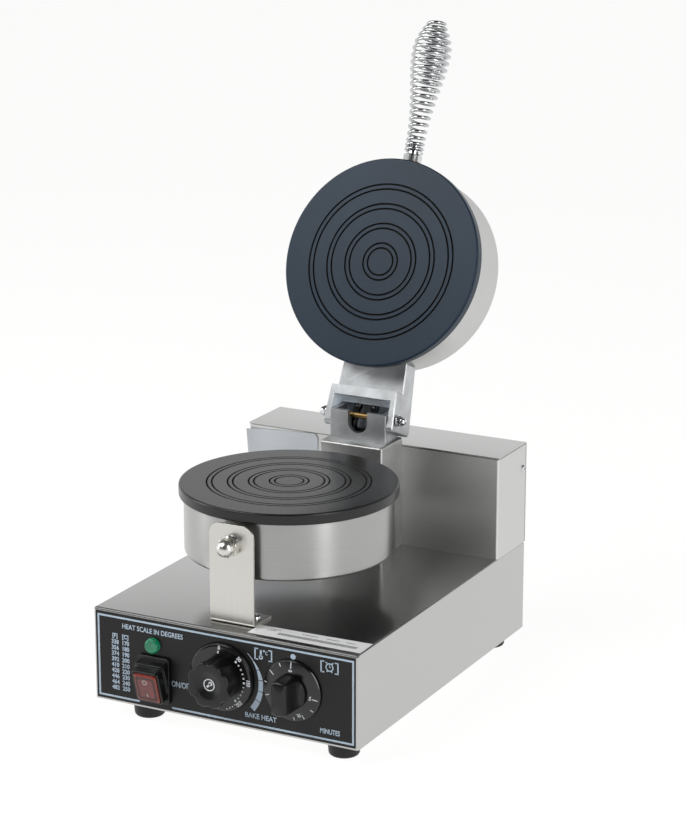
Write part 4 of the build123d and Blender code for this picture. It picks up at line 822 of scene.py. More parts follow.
class BAKER_OT_plates(bpy.types.Operator):
    """Makes both baking plates: a turned profile with double rings of grooves"""

    bl_idname = "baker.plates"
    bl_label = "Baking plates"

    def execute(self, context):
        sizes = context.scene.baker_sizes
        radius = sizes.plate_radius / MM
        half = sizes.groove_width / MM / 2
        depth = sizes.groove_depth / MM
        pairs, first, pitch, offset = 4, 13.9, 17.05, 2.1
        shoulder, floor = 0.3, 0.15
        across = np.array([-half - shoulder, -half, -floor, floor, half, half + shoulder])
        centres = first + pitch * np.arange(pairs)[:, None] + np.array([-offset, offset])
        sink = np.tile([0, 0, depth, depth, 0, 0], 2 * pairs)
        grooves = np.stack([(centres.reshape(-1, 1) + across).ravel(), sink], -1)
        seat, rim_depth, depth_in_pan = PAN_RADIUS - PAN_WALL - 0.05, 9.2, 12.2
        rim = rounded(
            [(80.0, 0), (radius - 1.8, 0), (radius, 0), (radius, 1.8), (radius, 7.6), (radius, rim_depth)]
            + [(seat, rim_depth), (seat, depth_in_pan), (0, depth_in_pan)],
            [0, 1.4, 0, 0, 1.2, 0.4, 0.3],
        )
        profile = np.concatenate([[(0.0, 0.0)], grooves, rim])
        for face, side in ((LOWER_FACE, "lower"), (UPPER_FACE, "upper")):
            node = side + "_baking_plate"
            plate = turned(Shape(), profile, face, 160)
            # Each plate wears its own copy of the coating: painted light on the upper, painted shade on the
            # lower.
            mesh = finished(node, plate, side + "_coating", "coated_cast_plate", angle=20).data
            middle = face_values(mesh, "center") / MM - face.origin
            sunk = middle @ face.z
            out = np.linalg.norm(middle - sunk[:, None] * face.z, axis=1)
            # Painted shade: the faces sunk in the grooves are painted darker.
            repaint(mesh, ((sunk > 0.05) & (sunk < 3.0) & (out < 75.0), "groove_coating"))
        return {"FINISHED"}


def screw_head(shape, place, radius=3.0, height=1.6):
    """A pan head with a cross recess: its height is a flattened dome less a cross of two soft slots."""
    arm, slot_end, slot_depth = 0.14, 0.62, 0.55
    share = np.linspace(0, 1, 17)[:, None]
    angle = np.linspace(0, 2 * pi, 49)
    x, y = radius * share * np.cos(angle), radius * share * np.sin(angle)
    dome = height * (1 - 0.35 * share**4) * np.sqrt(np.clip(1 - share**10, 0, 1))
    slots = (np.minimum(np.abs(x), np.abs(y)) < arm * radius) & (share < slot_end)
    return shape.grid(place.out(x, y, dome - slot_depth * height * slots), caps=(False, True))


class BAKER_OT_pans(bpy.types.Operator):
    """Makes both drawn pans: a turned wall with a rolled edge and a rounded floor corner"""

    bl_idname = "baker.pans"
    bl_label = "Pans"

    def execute(self, context):
        bore, inner_floor = PAN_RADIUS - PAN_WALL, PAN_FLOOR - PAN_WALL
        outer = rounded([(PAN_RADIUS, PAN_EDGE), (PAN_RADIUS, PAN_FLOOR), (0, PAN_FLOOR)], [3.0], 8)
        inner = rounded([(0, inner_floor), (bore, inner_floor), (bore, PAN_EDGE)], [2.0], 6)
        profile = closed(np.concatenate([outer, inner]))
        # The lower pan wears painted shade and the lid pan painted light: darker and lighter copies of one
        # steel.
        pans = ((LOWER_FACE, "lower_pan", "pan_steel_painted_shade"), (UPPER_FACE, "upper_pan", "lid_pan_steel_painted_light"))
        for face, node, finish in pans:
            pan = turned(Shape(), profile, face, 160)
            finished(node, pan, finish, "stainless_steel", angle=40)
            screws = Shape()
            for angle in (90, 210, 330):
                screw_head(screws, face.move(*polar(62, angle), PAN_FLOOR), 3.6, 2.0)
            piece(node + "_floor_screws", screws, "bright_metal", "bright_fasteners", body=BODY_OF[node])
        return {"FINISHED"}


class BAKER_OT_handle(bpy.types.Operator):
    """Makes the handle: a bush, a copper washer, a hexagon ferrule and the swelling coil"""

    bl_idname = "baker.handle"
    bl_label = "Handle"

    def execute(self, context):
        sizes = context.scene.baker_sizes
        wire, turns = sizes.wire_radius / MM, sizes.coil_turns
        bush_top, ferrule_foot, ferrule_height = 5.6, 6.8, 6.6
        foot_radius, widest_radius, tip_radius, widest = 6.9, 15.8, 6.5, 0.775
        turn = np.linspace(0, turns, turns * 64 + 1)
        pitch = np.interp(turn, [0, 4, turns - 3, turns], [3.15, 6.2, 6.2, 4.2])
        advance = np.concatenate([[0], np.cumsum(np.diff(turn) * (pitch[:-1] + pitch[1:]) / 2)])
        share = advance / advance[-1]
        swell = (1 - np.cos(pi * np.minimum(share / widest, 1) ** 1.33)) / 2
        taper = np.cos(pi / 2 * np.clip((share - widest) / (1 - widest), 0, 1))
        swell = foot_radius + (widest_radius - foot_radius) * swell
        taper = tip_radius + (widest_radius - tip_radius) * taper
        radius = np.where(share < widest, swell, taper)
        angle = 2 * pi * turn
        base = GRIP.move(0, 0, ferrule_foot + ferrule_height + 0.3 + wire)
        line = base.around(radius, angle, advance) / MM
        run_out = 3.0
        first, last = line[:1] - line[1:2], line[-1:] - line[-2:-1]
        first, last = (run_out * way / np.linalg.norm(way) for way in (first, last))
        line = np.concatenate([line[:1] + first, line, line[-1:] + last])
        out = base.around(1.0, angle, 0.0) / MM - base.origin
        coil = tube(Shape(), line, np.concatenate([out[:1], out, out[-1:]]), wire, 14)
        piece("coil_handle", coil, "spring_wire", "spring_chrome", "handle_coil", angle=50)

        rows = nut_rows(13.8, ferrule_height, 5.1, 0.6)[:5]
        neck = [(5.1, FAR, ferrule_height), (5.1, FAR, 15.9), (4.4, FAR, 16.6), (0, FAR, 16.6)]
        ferrule = hexed(Shape(), [(0, FAR, 0)] + rows + neck, GRIP.move(0, 0, ferrule_foot))
        finished("handle_ferrule", ferrule, "bright_metal", "bright_fasteners", angle=25)
        ring = washer(Shape(), GRIP.move(0, 0, bush_top), 4.1, 7.6, 0, ferrule_foot - bush_top, [0.3, 0.3])
        finished("handle_washer", ring, "copper", "copper_washer")
        bush = washer(Shape(), GRIP, 4.1, 7.0, -0.9, bush_top, [0.0, 0.5])
        finished("handle_bush", bush, "bright_metal", "bright_fasteners")
        return {"FINISHED"}


class BAKER_OT_fasteners(bpy.types.Operator):
    """Makes the visible nuts, washers and screws of the bracket, the hinge, the box and the bottom"""

    bl_idname = "baker.fasteners"
    bl_label = "Fasteners"

    def execute(self, context):
        metal, slot = "bright_metal", "bright_fasteners"
        stud = Place((0, FRONT + 15.0, STUD_Z), (1, 0, 0), (0, -1, 0))
        nut = hexed(Shape(), dome_rows(16.0, 5.4, 7.5, 14.6), stud.move(0, -0.8, 1.2))
        piece("bracket_nut_finished", nut, "nut_metal", slot, "bracket_dome_nut", angle=25)
        ring = washer(Shape(), stud, 4.1, 8.0, 0, 1.6, [0.2, 0.5])
        finished("bracket_washer", ring, metal, slot)
        heads = Shape()
        for x in (-11, 11):
            screw_head(heads, LEVEL.move(x, FRONT + 33.0, BASE_TOP + 2.0), 4.5, 2.6)
        piece("bracket_screw_heads", heads, metal, slot, "bracket_screws")

        nuts, washers, screws = Shape(), Shape(), Shape()
        for sign in (-1, 1):
            place = Place((sign * HINGE_SIDE, HINGE_Y, HINGE_Z), (0, 1, 0), (sign, 0, 0))
            washer(washers, place, 2.6, 5.0, 0, 0.8, [0.2, 0.3], 48)
            hexed(nuts, dome_rows(8.0, 3.2, 3.7, 7.0), place.move(0, 0, 0.8))
            side = (sign * HALF_WIDTH, REAR - 7.0, BASE_TOP + 67.8)
            screw_head(screws, Place(side, (0, sign, 0), (sign, 0, 0)))
        finished("hinge_nuts", nuts, metal, slot, angle=25)
        finished("hinge_washers", washers, metal, slot)

        for x in (-70, 70):
            screw_head(screws, Place((x, REAR, BASE_TOP + 13.0), (-1, 0, 0), (0, 1, 0)))
        for x in (-108, 108):
            for y in (FRONT + 60, FRONT + 254):
                screw_head(screws, Place((x, y, FOOT), (1, 0, 0), (0, 0, -1)))
        piece("sheet_screws", screws, metal, slot)
        return {"FINISHED"}


class BAKER_OT_leads(bpy.types.Operator):
    """Makes the two sleeved leads, round tubes along a rounded line from the base into the lid, which ride on
    no body
    """

    bl_idname = "baker.leads"
    bl_label = "Leads"

    def execute(self, context):
        leads = Shape()
        lead_y, duct_mouth = HINGE_Y + 7.0, -18.0
        radius, corner = 3.6, 12.0
        pan_wall = PAN_RADIUS - PAN_WALL - LID_REACH
        for x in (-12.5, 3.5):
            foot, elbow = (x, lead_y, BASE_TOP - 12.0), (x, lead_y, HINGE_Z - 7.5)
            head, duct, end = (LID.point(x, y, LEAD_LEVEL) for y in (-7.5, duct_mouth, pan_wall - 6.0))
            line = rounded([foot, elbow, head, duct, end], [corner, corner, 0.0], 16)
            tube(leads, line, np.tile([1.0, 0.0, 0.0], (len(line), 1)), radius, 24)
        finish = slot = "lead_sleeve"
        sleeves = piece("lead_sleeves", leads, finish, slot, "hinge_leads", angle=50, bends=True)
        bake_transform(sleeves)
        return {"FINISHED"}


class BAKER_OT_feet(bpy.types.Operator):
    """Makes the four rubber feet: a turned cup shape with rounded shoulders"""

    bl_idname = "baker.feet"
    bl_label = "Feet"

    def execute(self, context):
        profile = rounded([(0, FOOT), (13.4, FOOT), (12.3, 0), (0, 0)], [0.4, 2.9], 8)
        feet = Shape()
        for x in (-81.2, 97.8):
            for y in (FRONT + 20.0, REAR - 20.0):
                turned(feet, profile, LEVEL.move(x, y), 64)
        finished("rubber_feet", feet, "soft_rubber", "black_rubber")
        return {"FINISHED"}


def dial(name, x, outline, radii):
    """A turned dial round a knob's shaft, with its bore from the film to its face."""
    bore, back = 5.0, 1.4
    profile = rounded([(bore, back), *outline, (bore, DIAL_TOP)], radii, 4)
    plate = turned(Shape(), closed(profile), knob_place(x), 128)
    finished(name + "_dial", plate, "dial_black", "black_dial", angle=50)


def scalloped_knob(place, height):
    """A round knob with eight scallops, a hollow in its face and one pointer groove.

    At each height the radius is the least of the turned profile's and the scallops'. The scallops are circles
    of radius R whose centres lie at a distance D: D cos a - sqrt(R^2 - D^2 sin^2 a). They are rounded off
    near the face.
    """
    scallop_centre, scallop_radius, face_round = 24.5, 7.0, 1.4
    angle = np.linspace(0, 2 * pi, 321)
    lean = np.mod(angle + pi / 8, pi / 4) - pi / 8
    reach = np.clip(scallop_radius**2 - (scallop_centre * np.sin(lean)) ** 2, 0, None)
    scallop = np.where(reach > 0, scallop_centre * np.cos(lean) - np.sqrt(reach), FAR)
    rows = [(0, 0), (17.3, 0), (17.5, 0.3), (17.5, 5.0), (18.2, 10.0), (19.0, height - 2.2)]
    for a in np.linspace(0, pi / 2, 7):
        rows.append((19.2 - face_round * (1 - cos(a)), height - face_round + face_round * sin(a)))
    hollow = [(15.0, 0), (12.2, 0.05), (11.0, 0.35), (9.6, 0.9), (8.0, 1.6), (6.4, 2.3), (5.8, 2.55)]
    rows += [(radius, height - drop) for radius, drop in hollow]
    rows = np.array(rows + [(0, height - 2.6)])
    turned_radius, level = rows[:, :1], rows[:, 1:]
    round_off = np.clip((level - (height - face_round)) / face_round, 0, 1)
    cut = scallop - 1.2 * (1 - np.sqrt(1 - round_off**2))
    radius = np.where(turned_radius > 12.5, np.minimum(turned_radius, cut), turned_radius + 0 * cut)
    pointer = np.abs(np.mod(angle - radians(-135) + pi, 2 * pi) - pi)
    groove = (radius * pointer < 0.8) & (radius > 11.6) & (level > height - 1.5)
    return Shape().grid(place.around(radius, angle, level - 0.8 * groove))


class BAKER_OT_thermostat(bpy.types.Operator):
    """Makes the thermostat's dial and scalloped knob, with the marks printed on them"""

    bl_idname = "baker.thermostat"
    bl_label = "Thermostat"

    def execute(self, context):
        ink = context.scene.baker_sizes.print_height / MM
        dial("thermostat", 0, [(28.0, 1.4), (28.4, 2.2), (27.6, 4.3), (26.0, DIAL_TOP)], [0.3, 0.5, 0.8, 0.8])
        height = 19.7
        ring = knob_place(0, DIAL_TOP)
        knob = scalloped_knob(ring, height)
        finished("thermostat_knob", knob, "satin_black", "black_plastic", angle=30)

        marks = Shape()
        face = ring.move(0, 0, height - 2.58)
        ring_mark(marks, face, (0, 0), 4.2, 5.1, ink, 48)
        bar(marks, face, (-2.0, -2.0), (0.8, 0.8), 1.5, ink)
        ring_mark(marks, face, (1.2, 1.2), 0.6, 1.8, ink, 32)
        for index in range(11):
            size = 0.8 if index % 5 else 1.1
            ring_mark(marks, ring, polar(21.6, 48.0 - index * 9.9), 0, size, ink, 16)
        for index in range(4):
            ring_mark(marks, ring, polar(24.2 + 0.5 * index, -57.0 - index * 6.5), 0, 0.6, ink, 16)
        for number, degrees in (("50", 47.0), ("150", 0.0), ("250", -48.0)):
            there = ring.move(*polar(25.3, degrees)).turned(radians(degrees) - pi / 2)
            lettering(marks, there, number, 4.6, ink, 0.85, 0.18)
        lettering(marks, ring.move(-0.8, 25.1), "0", 4.6, ink, 0.85, 0.18)
        bar(marks, ring, (-1.8, 20.4), (-1.6, 22.4), 1.3, ink)
        piece("thermostat_marks", marks, "dial_print", "black_dial", body="thermostat_knob")
        return {"FINISHED"}


def bar_knob(place):
    """A round hub that narrows to a bar: at each height 1 / r^n = 1 / hub^n + (|cos a| / bar)^n, n = 22."""
    soft, widest = 22.0, 60.0
    angle = np.linspace(0, 2 * pi, 361)
    lift = np.array([0, 0.4, 2.0, 2.5, 3.5, 6.0, 10.0, 15.0, 18.4, 18.9, 19.3, 19.6, 19.8, 19.9])
    hub = np.interp(lift, [0, 0.4, 2.0, 18.4, 19.3, 19.9], [13.6, 14.0, 14.2, 14.2, 13.9, 13.1])
    half_bar = np.interp(lift, [0, 2.0, 2.5, 6.0, 18.4, 19.3, 19.9], [14.0, 14.0, 11.4, 9.2, 6.6, 6.3, 5.6])
    wall = np.minimum(half_bar[:, None] / np.maximum(np.abs(np.cos(angle)), 1e-3), widest)
    radius = (hub[:, None] ** -soft + wall**-soft) ** (-1 / soft)
    radius = np.concatenate([0 * radius[:1], radius, 0 * radius[:1]])
    lift = np.concatenate([lift[:1], lift, lift[-1:]])
    return Shape().grid(place.around(radius, angle, lift[:, None]))


def cone_place(degrees, inner, slope):
    """The place where the timer dial's cone meets its flat middle, with X pointing down the cone."""
    outward = np.array([cos(radians(degrees)), 0.0, sin(radians(degrees))])
    forward = np.array([0.0, -1.0, 0.0])
    along = outward * cos(slope) - forward * sin(slope)
    above = forward * cos(slope) + outward * sin(slope)
    return Place(knob_place(TIMER_X, DIAL_TOP).origin + outward * inner, along, above)


class BAKER_OT_timer(bpy.types.Operator):
    """Makes the timer's dial and bar knob, with the marks printed on the dial"""

    bl_idname = "baker.timer"
    bl_label = "Timer"

    def execute(self, context):
        ink = context.scene.baker_sizes.print_height / MM + 0.05
        inner, outer, edge_height = 15.5, 24.6, 3.2
        outline = [(25.2, 1.4), (25.5, 2.0), (outer, edge_height), (inner, DIAL_TOP)]
        dial("timer", TIMER_X, outline, [0.2, 0.4, 0.8, 1.0])
        knob = bar_knob(knob_place(TIMER_X, DIAL_TOP))
        finished("timer_knob", knob, "satin_black", "black_plastic", angle=40)

        marks = Shape()
        slope = np.arctan2(DIAL_TOP - edge_height, outer - inner)
        lines = [(90, 19.0, 24.2), (-10, 19.0, 23.8), (-36, 21.2, 24.0), (-62, 20.6, 24.4)]
        lines += [(-84, 21.4, 24.0), (116, 21.2, 24.2), (143, 18.8, 24.2), (170, 21.8, 24.4)]
        lines += [(197, 20.3, 24.4), (224, 21.4, 24.2)]
        for degrees, start, end in lines:
            bar(marks, cone_place(degrees, inner, slope), (start - inner, 0), (end - inner, 0), 0.75, ink)
        for number, degrees, distance in (("0", 90.0, 1.7), ("5", -10.0, 1.9), ("10", -70.0, 4.4)):
            lettering(marks, cone_place(degrees, inner, slope).move(distance, 0), number, 4.4, ink, 0.8, 0.16)
        piece("timer_marks", marks, "dial_print", "black_dial", body="timer_knob")
        return {"FINISHED"}


class BAKER_OT_lamp(bpy.types.Operator):
    """Makes the pilot lamp's lens: a turned profile whose side is ribbed, r (1 + 0.03 cos 24 a)"""

    bl_idname = "baker.lamp"
    bl_label = "Pilot lamp"

    def execute(self, context):
        angle = np.linspace(0, 2 * pi, 193)
        rows = [(0, 0), (6.6, 0), (6.6, 1.0), (6.2, 1.2), (6.2, 3.3), (5.5, 4.1), (4.4, 4.4), (3.9, 4.2)]
        radius, level = np.hsplit(np.array(rows + [(0, 4.2)]), 2)
        rib = 1 + 0.03 * np.cos(24 * angle) * ((radius > 5.5) & (level > 1.1))
        lens = Shape().grid(PANEL.move(-64.0, FOOT + 55.0).around(radius * rib, angle, level))
        finished("lamp_lens", lens, "green_lens", "green_lens", angle=40)
        return {"FINISHED"}


def boot_collar(pad, bore, root):
    """The boot's stepped tube round the rocker, whose back ends all lie in the plane y = root.

    Its section is a rounded rectangle, wider than the bore by 2 w at the reach r. The pairs (w, r) follow the
    outline of the wall. Below the step the reach is shared out between the step and the plane: r goes to
    r0 + (step - r0) r / step, where r0 is the reach at which this side of the tube meets the plane.
    """
    step, top, collar, base = 13.0, 20.6, 1.8, 3.4
    corners = [(0, 0), (0, top), (collar, top), (collar, step), (base, step), (base, 0)]
    outline = divided(rounded(corners, [0.5, 0.9, 0.5, 0.9], 4), 1.0)
    rows = []
    for wall, reach in closed(outline):
        x, y = rounded_rectangle(bore[0] + 2 * wall, bore[1] + 2 * wall, min(1.0 + 1.4 * wall, 3.5))
        meet = (pad.origin[1] - root + pad.y[1] * y) / -pad.z[1]
        rows.append(pad.out(x, y, np.where(reach < step, meet + (step - meet) * reach / step, reach)))
    return Shape().grid(np.array(rows))


class BAKER_OT_switch(bpy.types.Operator):
    """Makes the rubber boot, a plate and a stepped collar, and the rocker with its band and marks"""

    bl_idname = "baker.switch"
    bl_label = "Power switch"

    def execute(self, context):
        tilt, bend_tilt = radians(16.5), radians(6.4)
        lift, pad_face, bore = 2.3, 22.0, (21.2, 26.3)
        pivot = np.array([-62.7, FRONT + 7.0, FOOT + 27.0])
        lean = Place(pivot, (1, 0, 0), (0, -cos(tilt), -sin(tilt)))
        plate = flat_ring(Shape(), PANEL.move(pivot[0], pivot[2]), (29.0, 39.0, 2.5), (*bore, 1.0), 3.1)
        soften(piece("boot_finished", plate, "satin_black", "black_rubber", "switch_boot", angle=40), 0.8, 40)
        collar = boot_collar(lean.move(0, lift), bore, FRONT - 0.8)
        skirt = piece("boot_collar", collar, "satin_black", "black_rubber", angle=40, bends=True)
        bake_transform(skirt)

        merged_copy("power_rocker", "rocker_finished", "red_rocker_rim", "red_rocker", 0.3, 40)
        ink = context.scene.baker_sizes.print_height / MM
        face = lean.move(0, lift, pad_face)
        window = (13.6, 17.6, 0.9)
        band_height, window_height = 0.08, 0.06
        band = flat_ring(Shape(), face, (17.2, 21.6, 1.6), window, band_height)
        piece("rocker_band", band, "rocker_band", "red_rocker", body="rocker")
        plate = flat_plate(Shape(), face, window, window_height)
        piece("rocker_window", plate, "red_rocker", "red_rocker", body="rocker")
        marks = Shape()
        print_face = face.move(0, 0, window_height)
        ring_mark(marks, print_face, (-0.5, 6.0), 1.5, 2.3, ink, 40)
        bar(marks, print_face, (0.0, -8.0), (0.0, -5.0), 0.9, ink)
        bar(marks, print_face, (-0.9, -5.9), (0.1, -5.1), 0.7, ink)
        piece("rocker_marks", marks, "rocker_marks", "red_rocker", body="rocker")
        return {"FINISHED"}


class BAKER_OT_panel_print(bpy.types.Operator):
    """Prints the front panel: border, number table, scale, small pictures and plain words"""

    bl_idname = "baker.panel_print"
    bl_label = "Panel print"

    def execute(self, context):
        ink = context.scene.baker_sizes.print_height / MM
        for part in (self.border, self.numbers, self.scale, self.icons):
            marks = Shape()
            part(marks, ink)
            piece("panel_" + part.__name__, marks, "pale_print", "black_panel")
        return {"FINISHED"}

    def border(self, marks, ink):
        """A line round the panel, open where the switch stands over it."""
        width = 1.6
        half = width / 2
        left, right, high, low = -115.6, 116.3, BASE_TOP - 5.3, BASE_TOP - 73.9
        gap_left, gap_right = -78.0, -47.4
        bar(marks, PANEL, (left - half, high), (right + half, high), width, ink)
        for x in (left, right):
            bar(marks, PANEL, (x, low - half), (x, high - half), width, ink)
        bar(marks, PANEL, (left + half, low), (gap_left, low), width, ink)
        bar(marks, PANEL, (gap_right, low), (right - half, low), width, ink)

    def numbers(self, marks, ink):
        """Plain words, each with x, distance below the top, size and narrowing, and heat in two scales."""
        words = [(-64.8, 12.0, "HEAT SCALE IN DEGREES", 5.9, 0.86), (-38.4, 53.2, "ON/OFF", 7.0, 0.72)]
        words += [(34.2, 66.7, "BAKE HEAT", 6.0, 0.93), (96.0, 67.4, "MINUTES", 6.0, 0.72)]
        for x, down, text, size, narrow in words:
            lettering(marks, PANEL.move(x, BASE_TOP - down), text, size, ink, narrow)
        for x, mark, first, gain in ((-100.2, "[F]", 338, 18), (-90.4, "[C]", 170, 10)):
            lettering(marks, PANEL.move(x, BASE_TOP - 21.2), mark, 4.9, ink, 0.95, 0.15)
            for row in range(9):
                there = PANEL.move(x, BASE_TOP - 26.7 - row * 4.9)
                lettering(marks, there, str(first + gain * row), 5.1, ink, 0.92, 0.15)

    def scale(self, marks, ink):
        """Six pieces of a band round the thermostat, whose width grows with the heat."""
        inner = 32.6
        bounds = [(46.0, 33.6), (32.6, 19.4), (18.4, 4.8), (3.8, -10.8), (-11.8, -24.8), (-25.8, -40.5)]
        widths = [0.25, 0.9, 2.4, 3.8, 4.3, 4.7, 4.9]
        for angles, first, last in zip(bounds, widths, widths[1:]):
            arc_band(marks, PANEL, (0.0, KNOB_Z), inner, (inner + first, inner + last), angles, ink)

    def icons(self, marks, ink):
        """A thermometer and a clock in square brackets, and the timer's dot."""
        z, heat, time = BASE_TOP - 13.6, 37.0, 95.7
        for x in (heat, time):
            for sign in (-1, 1):
                side = x + sign * 7.4
                bar(marks, PANEL, (side, z - 4.9), (side, z + 4.9), 1.1, ink)
                for end in (z + 4.4, z - 4.4):
                    bar(marks, PANEL, (side - sign * 2.8, end), (side, end), 1.0, ink)
        bar(marks, PANEL, (heat - 2.2, z - 1.4), (heat - 2.2, z + 3.6), 1.7, ink)
        ring_mark(marks, PANEL, (heat - 2.2, z - 2.4), 0.8, 1.9, ink)
        lettering(marks, PANEL.move(heat + 2.8, z + 1.6), "C", 4.0, ink, 0.8)
        ring_mark(marks, PANEL, (heat + 0.6, z + 3.2), 0.4, 0.9, ink, 24)
        ring_mark(marks, PANEL, (time, z), 2.6, 3.5, ink, 48)
        bar(marks, PANEL, (time, z), (time, z + 1.9), 0.6, ink)
        bar(marks, PANEL, (time, z), (time + 1.4, z), 0.6, ink)
        for sign in (-1, 1):
            bar(marks, PANEL, (time + sign * 3.3, z + 3.9), (time + sign * 2.1, z + 3.3), 1.1, ink)
            bar(marks, PANEL, (time + sign * 2.3, z - 3.9), (time + sign * 1.7, z - 3.1), 0.9, ink)
        ring_mark(marks, PANEL, (63.6, BASE_TOP - 10.5), 0, 2.3, ink)


class BAKER_OT_plates_bare(bpy.types.Operator):
    """Makes the bare label on the housing, with plain bars, and the bare nameplate on the rear box"""

    bl_idname = "baker.bare_plates"
    bl_label = "Bare label and nameplate"

    def execute(self, context):
        paper, bar_height, count = 0.12, 0.04, 96
        corners = [(19.2, 5.9), (19.9, 25.2), (118.5, 28.0), (118.9, 5.9)]
        label = strip(Shape(), LEVEL.move(0, FRONT, BASE_TOP), corners, paper)
        piece("bare_label", label, "bare_label", "black_panel")
        marks = Shape()
        flat = LEVEL.move(0, FRONT, BASE_TOP + paper)
        for index in range(count):
            x = 42.0 + 70.0 * index / count
            bar(marks, flat, (x, 12.0), (x + 0.5, 16.5), 0.22 + 0.2 * sin(2.3 * index) ** 2, bar_height)
        for x, long in ((32.0, 9.0), (60.0, 14.0), (82.0, 11.0), (99.0, 8.0)):
            bar(marks, flat, (x, 21.2), (x + long, 21.4), 0.7, bar_height)
        bar(marks, flat, (30.0, 18.6), (38.0, 18.7), 0.7, bar_height)
        piece("label_bars", marks, "soft_rubber", "black_panel")
        piece("bare_nameplate", self.nameplate(), "bare_nameplate", "stainless_steel")
        return {"FINISHED"}

    def nameplate(self):
        """A plate with three rounded corners, whose left end curls forwards: y = BOX_FRONT - curl(x, up)."""
        left, right, corner, thickness = -121.5, -52.0, 4.0, 0.2
        middle, half = (left + right) / 2, (right - left) / 2
        across = np.linspace(left, right, 36)
        up = np.linspace(0, 1, 15)[:, None]
        inset = np.clip(np.abs(across - middle) - (half - corner), 0, corner)
        drop = corner - np.sqrt(np.clip(corner**2 - inset**2, 0, None))
        low = BASE_TOP + 57.0 + drop
        high = BASE_TOP + 86.6 + 0.053 * (across + 85.5) - drop * (across > middle)
        curl = 0.25 + (0.6 + 2.2 * up) * np.clip((-104.0 - across) / 17.5, 0, 1) ** 2 + 0.5 * up**2
        z = low + (high - low) * up
        faces = [LEVEL.out(across, BOX_FRONT - curl + depth, z) for depth in (0, thickness)]
        edges = [np.concatenate([p[0], p[1:, -1], p[-1, -2::-1], p[-2:0:-1, 0], p[:1, 0]]) for p in faces]
        return Shape().grid(faces[0]).grid(faces[1]).grid(np.stack(edges))


class BAKER_OT_gland(bpy.types.Operator):
    """Makes the empty cable gland: a hexagon body, a thread, and a ribbed cap, r + 0.22 cos 30 a"""

    bl_idname = "baker.gland"
    bl_label = "Cable gland"

    def execute(self, context):
        place = Place((70.0, REAR, FOOT + 27.5), (1, 0, 0), (0, 1, 0))
        bore = 4.5
        gland = hexed(Shape(), nut_rows(22.0, 6.0, bore, 0.8), place)
        angle = np.linspace(0, 2 * pi, 241)
        rows = [(bore, 5.9), (9.6, 5.9), (9.8, 6.6), (9.8, 12.6), (9.2, 13.6), (8.0, 14.6), (6.4, 15.0)]
        radius, level = np.hsplit(np.array(rows + [(5.2, 14.9), (bore, 14.2), (bore, 5.9)]), 2)
        ribs = 0.22 * np.cos(30 * angle) * ((radius > 9.5) & (level > 6.5))
        gland.grid(place.around(radius + ribs, angle, level))
        thread = [(bore, 0), (8.0, 0)]
        for top in 1.3 * np.arange(6):
            thread += [(8.0, -1.2 - top), (7.4, -1.8 - top), (8.0, -2.4 - top)]
        turned(gland, thread + [(7.6, -9.2), (bore, -9.2), (bore, 0)], place, 64)
        finished("cable_gland", gland, "satin_black", "black_plastic", angle=30)
        return {"FINISHED"}


# Studio
def mixed(tree, mask, first, second, output):
    """Feeds an output with one shader or the other by a mask."""
    mix = add_node(tree, "MixShader")
    for source, target in zip((mask, first.outputs[0], second.outputs[0]), mix.inputs):
        link(tree, source, target)
    link(tree, mix.outputs[0], add_node(tree, output).inputs[0])


def combined(tree, operation, first, second):
    """The result of a sum on two values."""
    node = add_node(tree, "Math", operation=operation)
    link(tree, first, node.inputs[0])
    link(tree, second, node.inputs[1])
    return node.outputs[0]


def eased(tree, value, start, end, low, high):
    """A value that eases from low to high as another goes from start to end."""
    spread = add_node(tree, "MapRange", interpolation_type="SMOOTHSTEP")
    for label, number in (("From Min", start), ("From Max", end), ("To Min", low), ("To Max", high)):
        spread.inputs[label].default_value = number
    link(tree, value, spread.inputs["Value"])
    return spread.outputs["Result"]


def emptied(owner):
    """The node tree of a material or world, with nothing in it."""
    owner.use_nodes = True
    owner.node_tree.nodes.clear()
    return owner.node_tree


def floor_material():
    """A white floor that keeps a soft shadow.

    It is plain white paint, with a glow for what the camera, a reflection or a clear piece sees.
    """
    material = bpy.data.materials.new("studio_floor")
    tree = emptied(material)
    paint = add_node(tree, "BsdfDiffuse", Color=(0.7, 0.7, 0.7, 1.0))
    thin = add_node(tree, "BsdfDiffuse", Color=(0.14, 0.14, 0.14, 1.0))
    glow = add_node(tree, "Emission", Color=(1.0, 1.0, 0.995, 1.0), Strength=0.93)
    both = add_node(tree, "AddShader")
    link(tree, thin.outputs[0], both.inputs[0])
    link(tree, glow.outputs[0], both.inputs[1])
    path = add_node(tree, "LightPath").outputs
    seen = combined(tree, "MAXIMUM", path["Is Camera Ray"], path["Is Glossy Ray"])
    seen = combined(tree, "MAXIMUM", seen, path["Is Transmission Ray"])
    mixed(tree, seen, paint, both, "OutputMaterial")
    return material


def floor():
    """The flat floor of the stage."""
    half = 14
    mesh = bpy.data.meshes.new("floor")
    corners = [(-half, -half, 0), (half, -half, 0), (half, half, 0), (-half, half, 0)]
    mesh.from_pydata(corners, [], [(0, 1, 2, 3)])
    mesh.materials.append(floor_material())
    obj = bpy.data.objects.new("floor", mesh)
    bpy.context.scene.collection.objects.link(obj)


